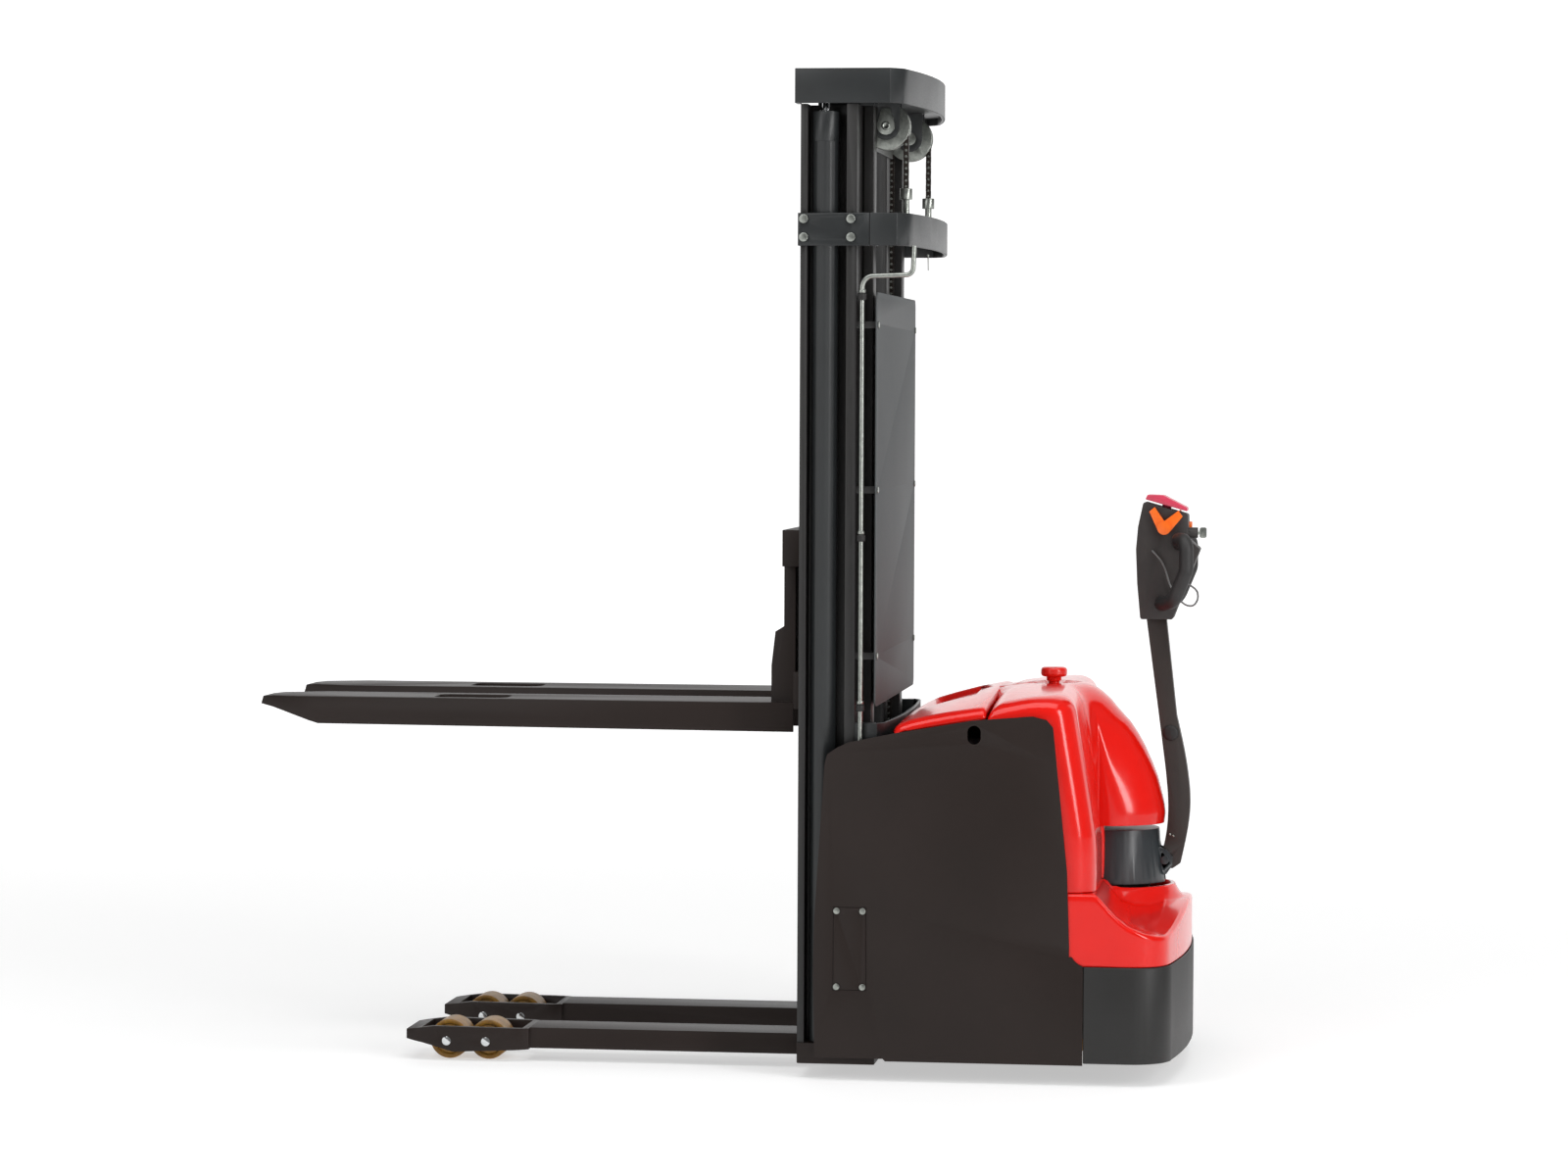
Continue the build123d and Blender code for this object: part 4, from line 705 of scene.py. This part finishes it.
def addChains():
    look = chainLook
    for word, sign in (("Right", -1), ("Left", 1)):
        y = sign * look["mastY"]
        x, z, radius = look["mastWheel"]
        loop = chainPiece("mastChainLoop" + word, arcPins(look["mastWheel"]), y, look["mastWidth"])
        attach(loop, "middle_stage")
        front = chainPiece("mastChainFront" + word, straightPins(x - radius, look["lug"], z), y, look["mastWidth"])
        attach(front, "middle_stage")
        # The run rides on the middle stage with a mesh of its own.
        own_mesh(front)
        rear = chainPiece("mastChainRear" + word, straightPins(x + radius, look["clevis"] - 8, z), y, look["mastWidth"])
        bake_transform(rear, "chassis", "middle_stage", start=at(x + radius, y, look["clevis"]), end=at(x + radius, y, z))
        if sign < 0:
            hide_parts("mast_chain_front_runs")
            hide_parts("mast_chain_rear_runs")
        y = sign * look["freeY"]
        x, z, radius = look["freeWheel"]
        loop = chainPiece("liftChainLoop" + word, arcPins(look["freeWheel"]), y, look["freeWidth"])
        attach(loop, "free_lift_head")
        front = chainPiece("liftChainFront" + word, straightPins(x - radius, look["carriageLug"], z), y,
                           look["freeWidth"])
        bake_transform(front, "fork_carriage", "free_lift_head", start=at(x - radius, y, look["carriageLug"]),
                 end=at(x - radius, y, z))
        # The blend reaches past both ends of the run, so its links stay in order at the lowest position.
        rear = chainPiece("liftChainRear" + word, straightPins(x + radius, look["freeFoot"], z), y, look["freeWidth"])
        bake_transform(rear, "inner_stage", "free_lift_head", start=at(x + radius, y, look["freeFoot"] - look["easeLow"]),
                 end=at(x + radius, y, z + look["easeHigh"]))
        if sign < 0:
            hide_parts("free_lift_chain_front_runs")
            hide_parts("free_lift_chain_rear_runs")


trimLook = {"armCap": (118, 687), "armCapRadius": 15.5, "armHalf": 20.0, "screws": ((118, 474), (125, 471)),
            "stud": (-461, 258, 1939), "pipe": (-492, -398), "clips": (1587, 1100, 756),
            "tail": (-421.5, 230, 1692)}


# Small bought-in parts: arm caps and screws, pipe clips, keeper studs and the split pin's tail.
def addTrim():
    look = trimLook
    x, z = look["armCap"]
    r = look["armCapRadius"]
    for word, sign in (("Right", -1), ("Left", 1)):
        side = (0, sign, 0)
        half = look["armHalf"]
        turned("armCap" + word, (x, sign * half, z), side,
               [(r + 1, -0.5), (r + 1, 1.6), (r - 1.5, 3), (r * 0.6, 4.6), (0.01, 5.2)], "tiller", "blackNeoprene")
        for index, (screwX, screwZ) in enumerate(look["screws"]):
            turned(f"armScrew{word}{index}", (screwX, sign * half, screwZ), side,
                   [(2.6, -0.4), (2.6, 0.7), (1.6, 1.5), (0.01, 1.7)], "tiller", "zincPlate", 20)
        studX, studY, studZ = look["stud"]
        turned("keeperStud" + word, (studX, sign * studY, studZ), side,
               [(9, -0.4), (9, 3), (7.6, 4.2), (5, 4.4), (4.4, 3.6), (0.01, 3.4)], "middle_stage", "zincPlate")
    px, py = look["pipe"]
    for index, height in enumerate(look["clips"]):
        turned(f"pipeClip{index}", (px, py, height - 7), (0, 0, 1),
               [(5.2, 0), (8.4, 0.4), (8.8, 2), (8.8, 12), (8.4, 13.6), (5.2, 14)], "chassis", "blackNeoprene")
        turned(f"pipeNut{index}", (px, py, height + 7), (0, 0, 1),
               [(5.2, 0), (7.2, 0.3), (7.2, 7), (6.4, 8), (5.2, 8)], "chassis", "zincPlate", 12)
    turned("pinTail", look["tail"], (0.02, 0, -1), [(2.2, 0), (2.2, 4), (1.2, 5), (1.1, 34), (0.01, 35)], "chassis",
           "zincPlate", 12)


lead = {"diameter": 4.0, "length": 216.0,
        "route": [(78, -46, 1068), (84, -53, 1062), (99, -56, 1046), (108, -54, 1024), (114, -55, 1000),
                  (128, -56, 976), (146, -58, 956), (166, -58, 953), (176, -56, 972), (170, -54, 992),
                  (150, -46, 1000)]}


def addLead():
    curve = bpy.data.curves.new("lead", "CURVE")
    curve.dimensions, curve.bevel_depth, curve.bevel_resolution = "3D", lead["diameter"] / 2 * mm, 6
    line = curve.splines.new("NURBS")
    line.points.add(len(lead["route"]) - 1)
    for point, place in zip(line.points, lead["route"]):
        point.co = (*at(*place), 1)
    line.order_u, line.use_endpoint_u, line.resolution_u = 3, True, 24
    curve.materials.append(materials["greyPvc"])
    piece = bpy.data.objects.new("controlLead", curve)
    bpy.context.scene.collection.objects.link(piece)
    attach(piece, "tiller")
    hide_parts("head_lead")


# A rectangular soft box aimed at a point.
def lamp(name, place, target, power, size, tint="#FFFFFF"):
    data = bpy.data.lights.new(name, "AREA")
    data.energy, data.size, data.shape, data.color = power, size[0], "RECTANGLE", colour(tint)[:3]
    data.size_y = size[1]
    light = bpy.data.objects.new(name, data)
    bpy.context.scene.collection.objects.link(light)
    start, end = Vector(place), Vector(target)
    light.location = start
    light.rotation_euler = (end - start).to_track_quat("-Z", "Y").to_euler()
    return light


stageLook = {"wide": 22, "front": -22, "back": 17, "high": 18, "bend": 5.0,
             "glowNear": 1.5, "glowFar": 8.0, "glowLow": 0.5, "glowHigh": 0.84, "room": 0.22}


def addStage():
    look = stageLook
    shade = bpy.data.materials.new("palePaper")
    shade.use_nodes = True
    shader = shade.node_tree.nodes["Principled BSDF"]
    shader.inputs["Base Color"].default_value = colour("#C8C8C8")
    shader.inputs["Roughness"].default_value = 0.75
    shader.inputs["Emission Color"].default_value = colour("#FFFFFF")
    # The paper glows more far from the machine, so it stays white there without washing the paint out.
    place = addNode(shade.node_tree, "ShaderNodeNewGeometry")
    reach = addNode(shade.node_tree, "ShaderNodeVectorMath", {"operation": "LENGTH"}, None,
                    {0: place.outputs["Position"]})
    glow = addNode(shade.node_tree, "ShaderNodeMapRange", None,
                   {"From Min": look["glowNear"], "From Max": look["glowFar"],
                    "To Min": look["glowLow"], "To Max": look["glowHigh"]},
                   {"Value": reach.outputs["Value"]})
    shade.node_tree.links.new(glow.outputs["Result"], shader.inputs["Emission Strength"])
    wide, back, high, bend = look["wide"], look["back"], look["high"], look["bend"]
    profile = [(look["front"], 0)] + [(back - bend + bend * math.sin(math.radians(a)),
                             bend - bend * math.cos(math.radians(a))) for a in range(0, 91, 6)] + [(back, high)]
    rows = [[Vector((x, y, z)) for x in (-wide, wide)] for y, z in profile]
    paper = bpy.data.objects.new("paper", gridMesh("paper", rows))
    bpy.context.scene.collection.objects.link(paper)
    paper.data.materials.append(shade)
    for polygon in paper.data.polygons:
        polygon.use_smooth = True
    world = bpy.data.worlds.new("room")
    bpy.context.scene.world = world
    world.use_nodes = True
    sky = world.node_tree.nodes["Background"]
    sky.inputs["Color"].default_value = colour("#FFFFFF")
    sky.inputs["Strength"].default_value = look["room"]
    # A long soft box over the machine, a tall one to the rear for the cover highlights, and a front fill.
    lamp("overhead", (0.4, -1.5, 4.6), (0.2, 0, 0.8), 130, (5, 3))
    lamp("rearStrip", (4.2, -3.2, 2.2), (0.7, 0, 0.7), 110, (0.9, 3.2))
    lamp("frontFill", (-3.6, -4.5, 2.6), (0, 0, 0.9), 60, (2.5, 2.5))


bpy.context.scene.view_settings.view_transform = "Standard"
stages = {"camera": setCamera, "nodes": easeNodes, "hood": addHood, "lid": addLid, "lower cover": addLowerCover,
          "chains": addChains, "trim": addTrim, "lead": addLead, "stage": addStage}
for stage, make in stages.items():
    print(stage)
    make()
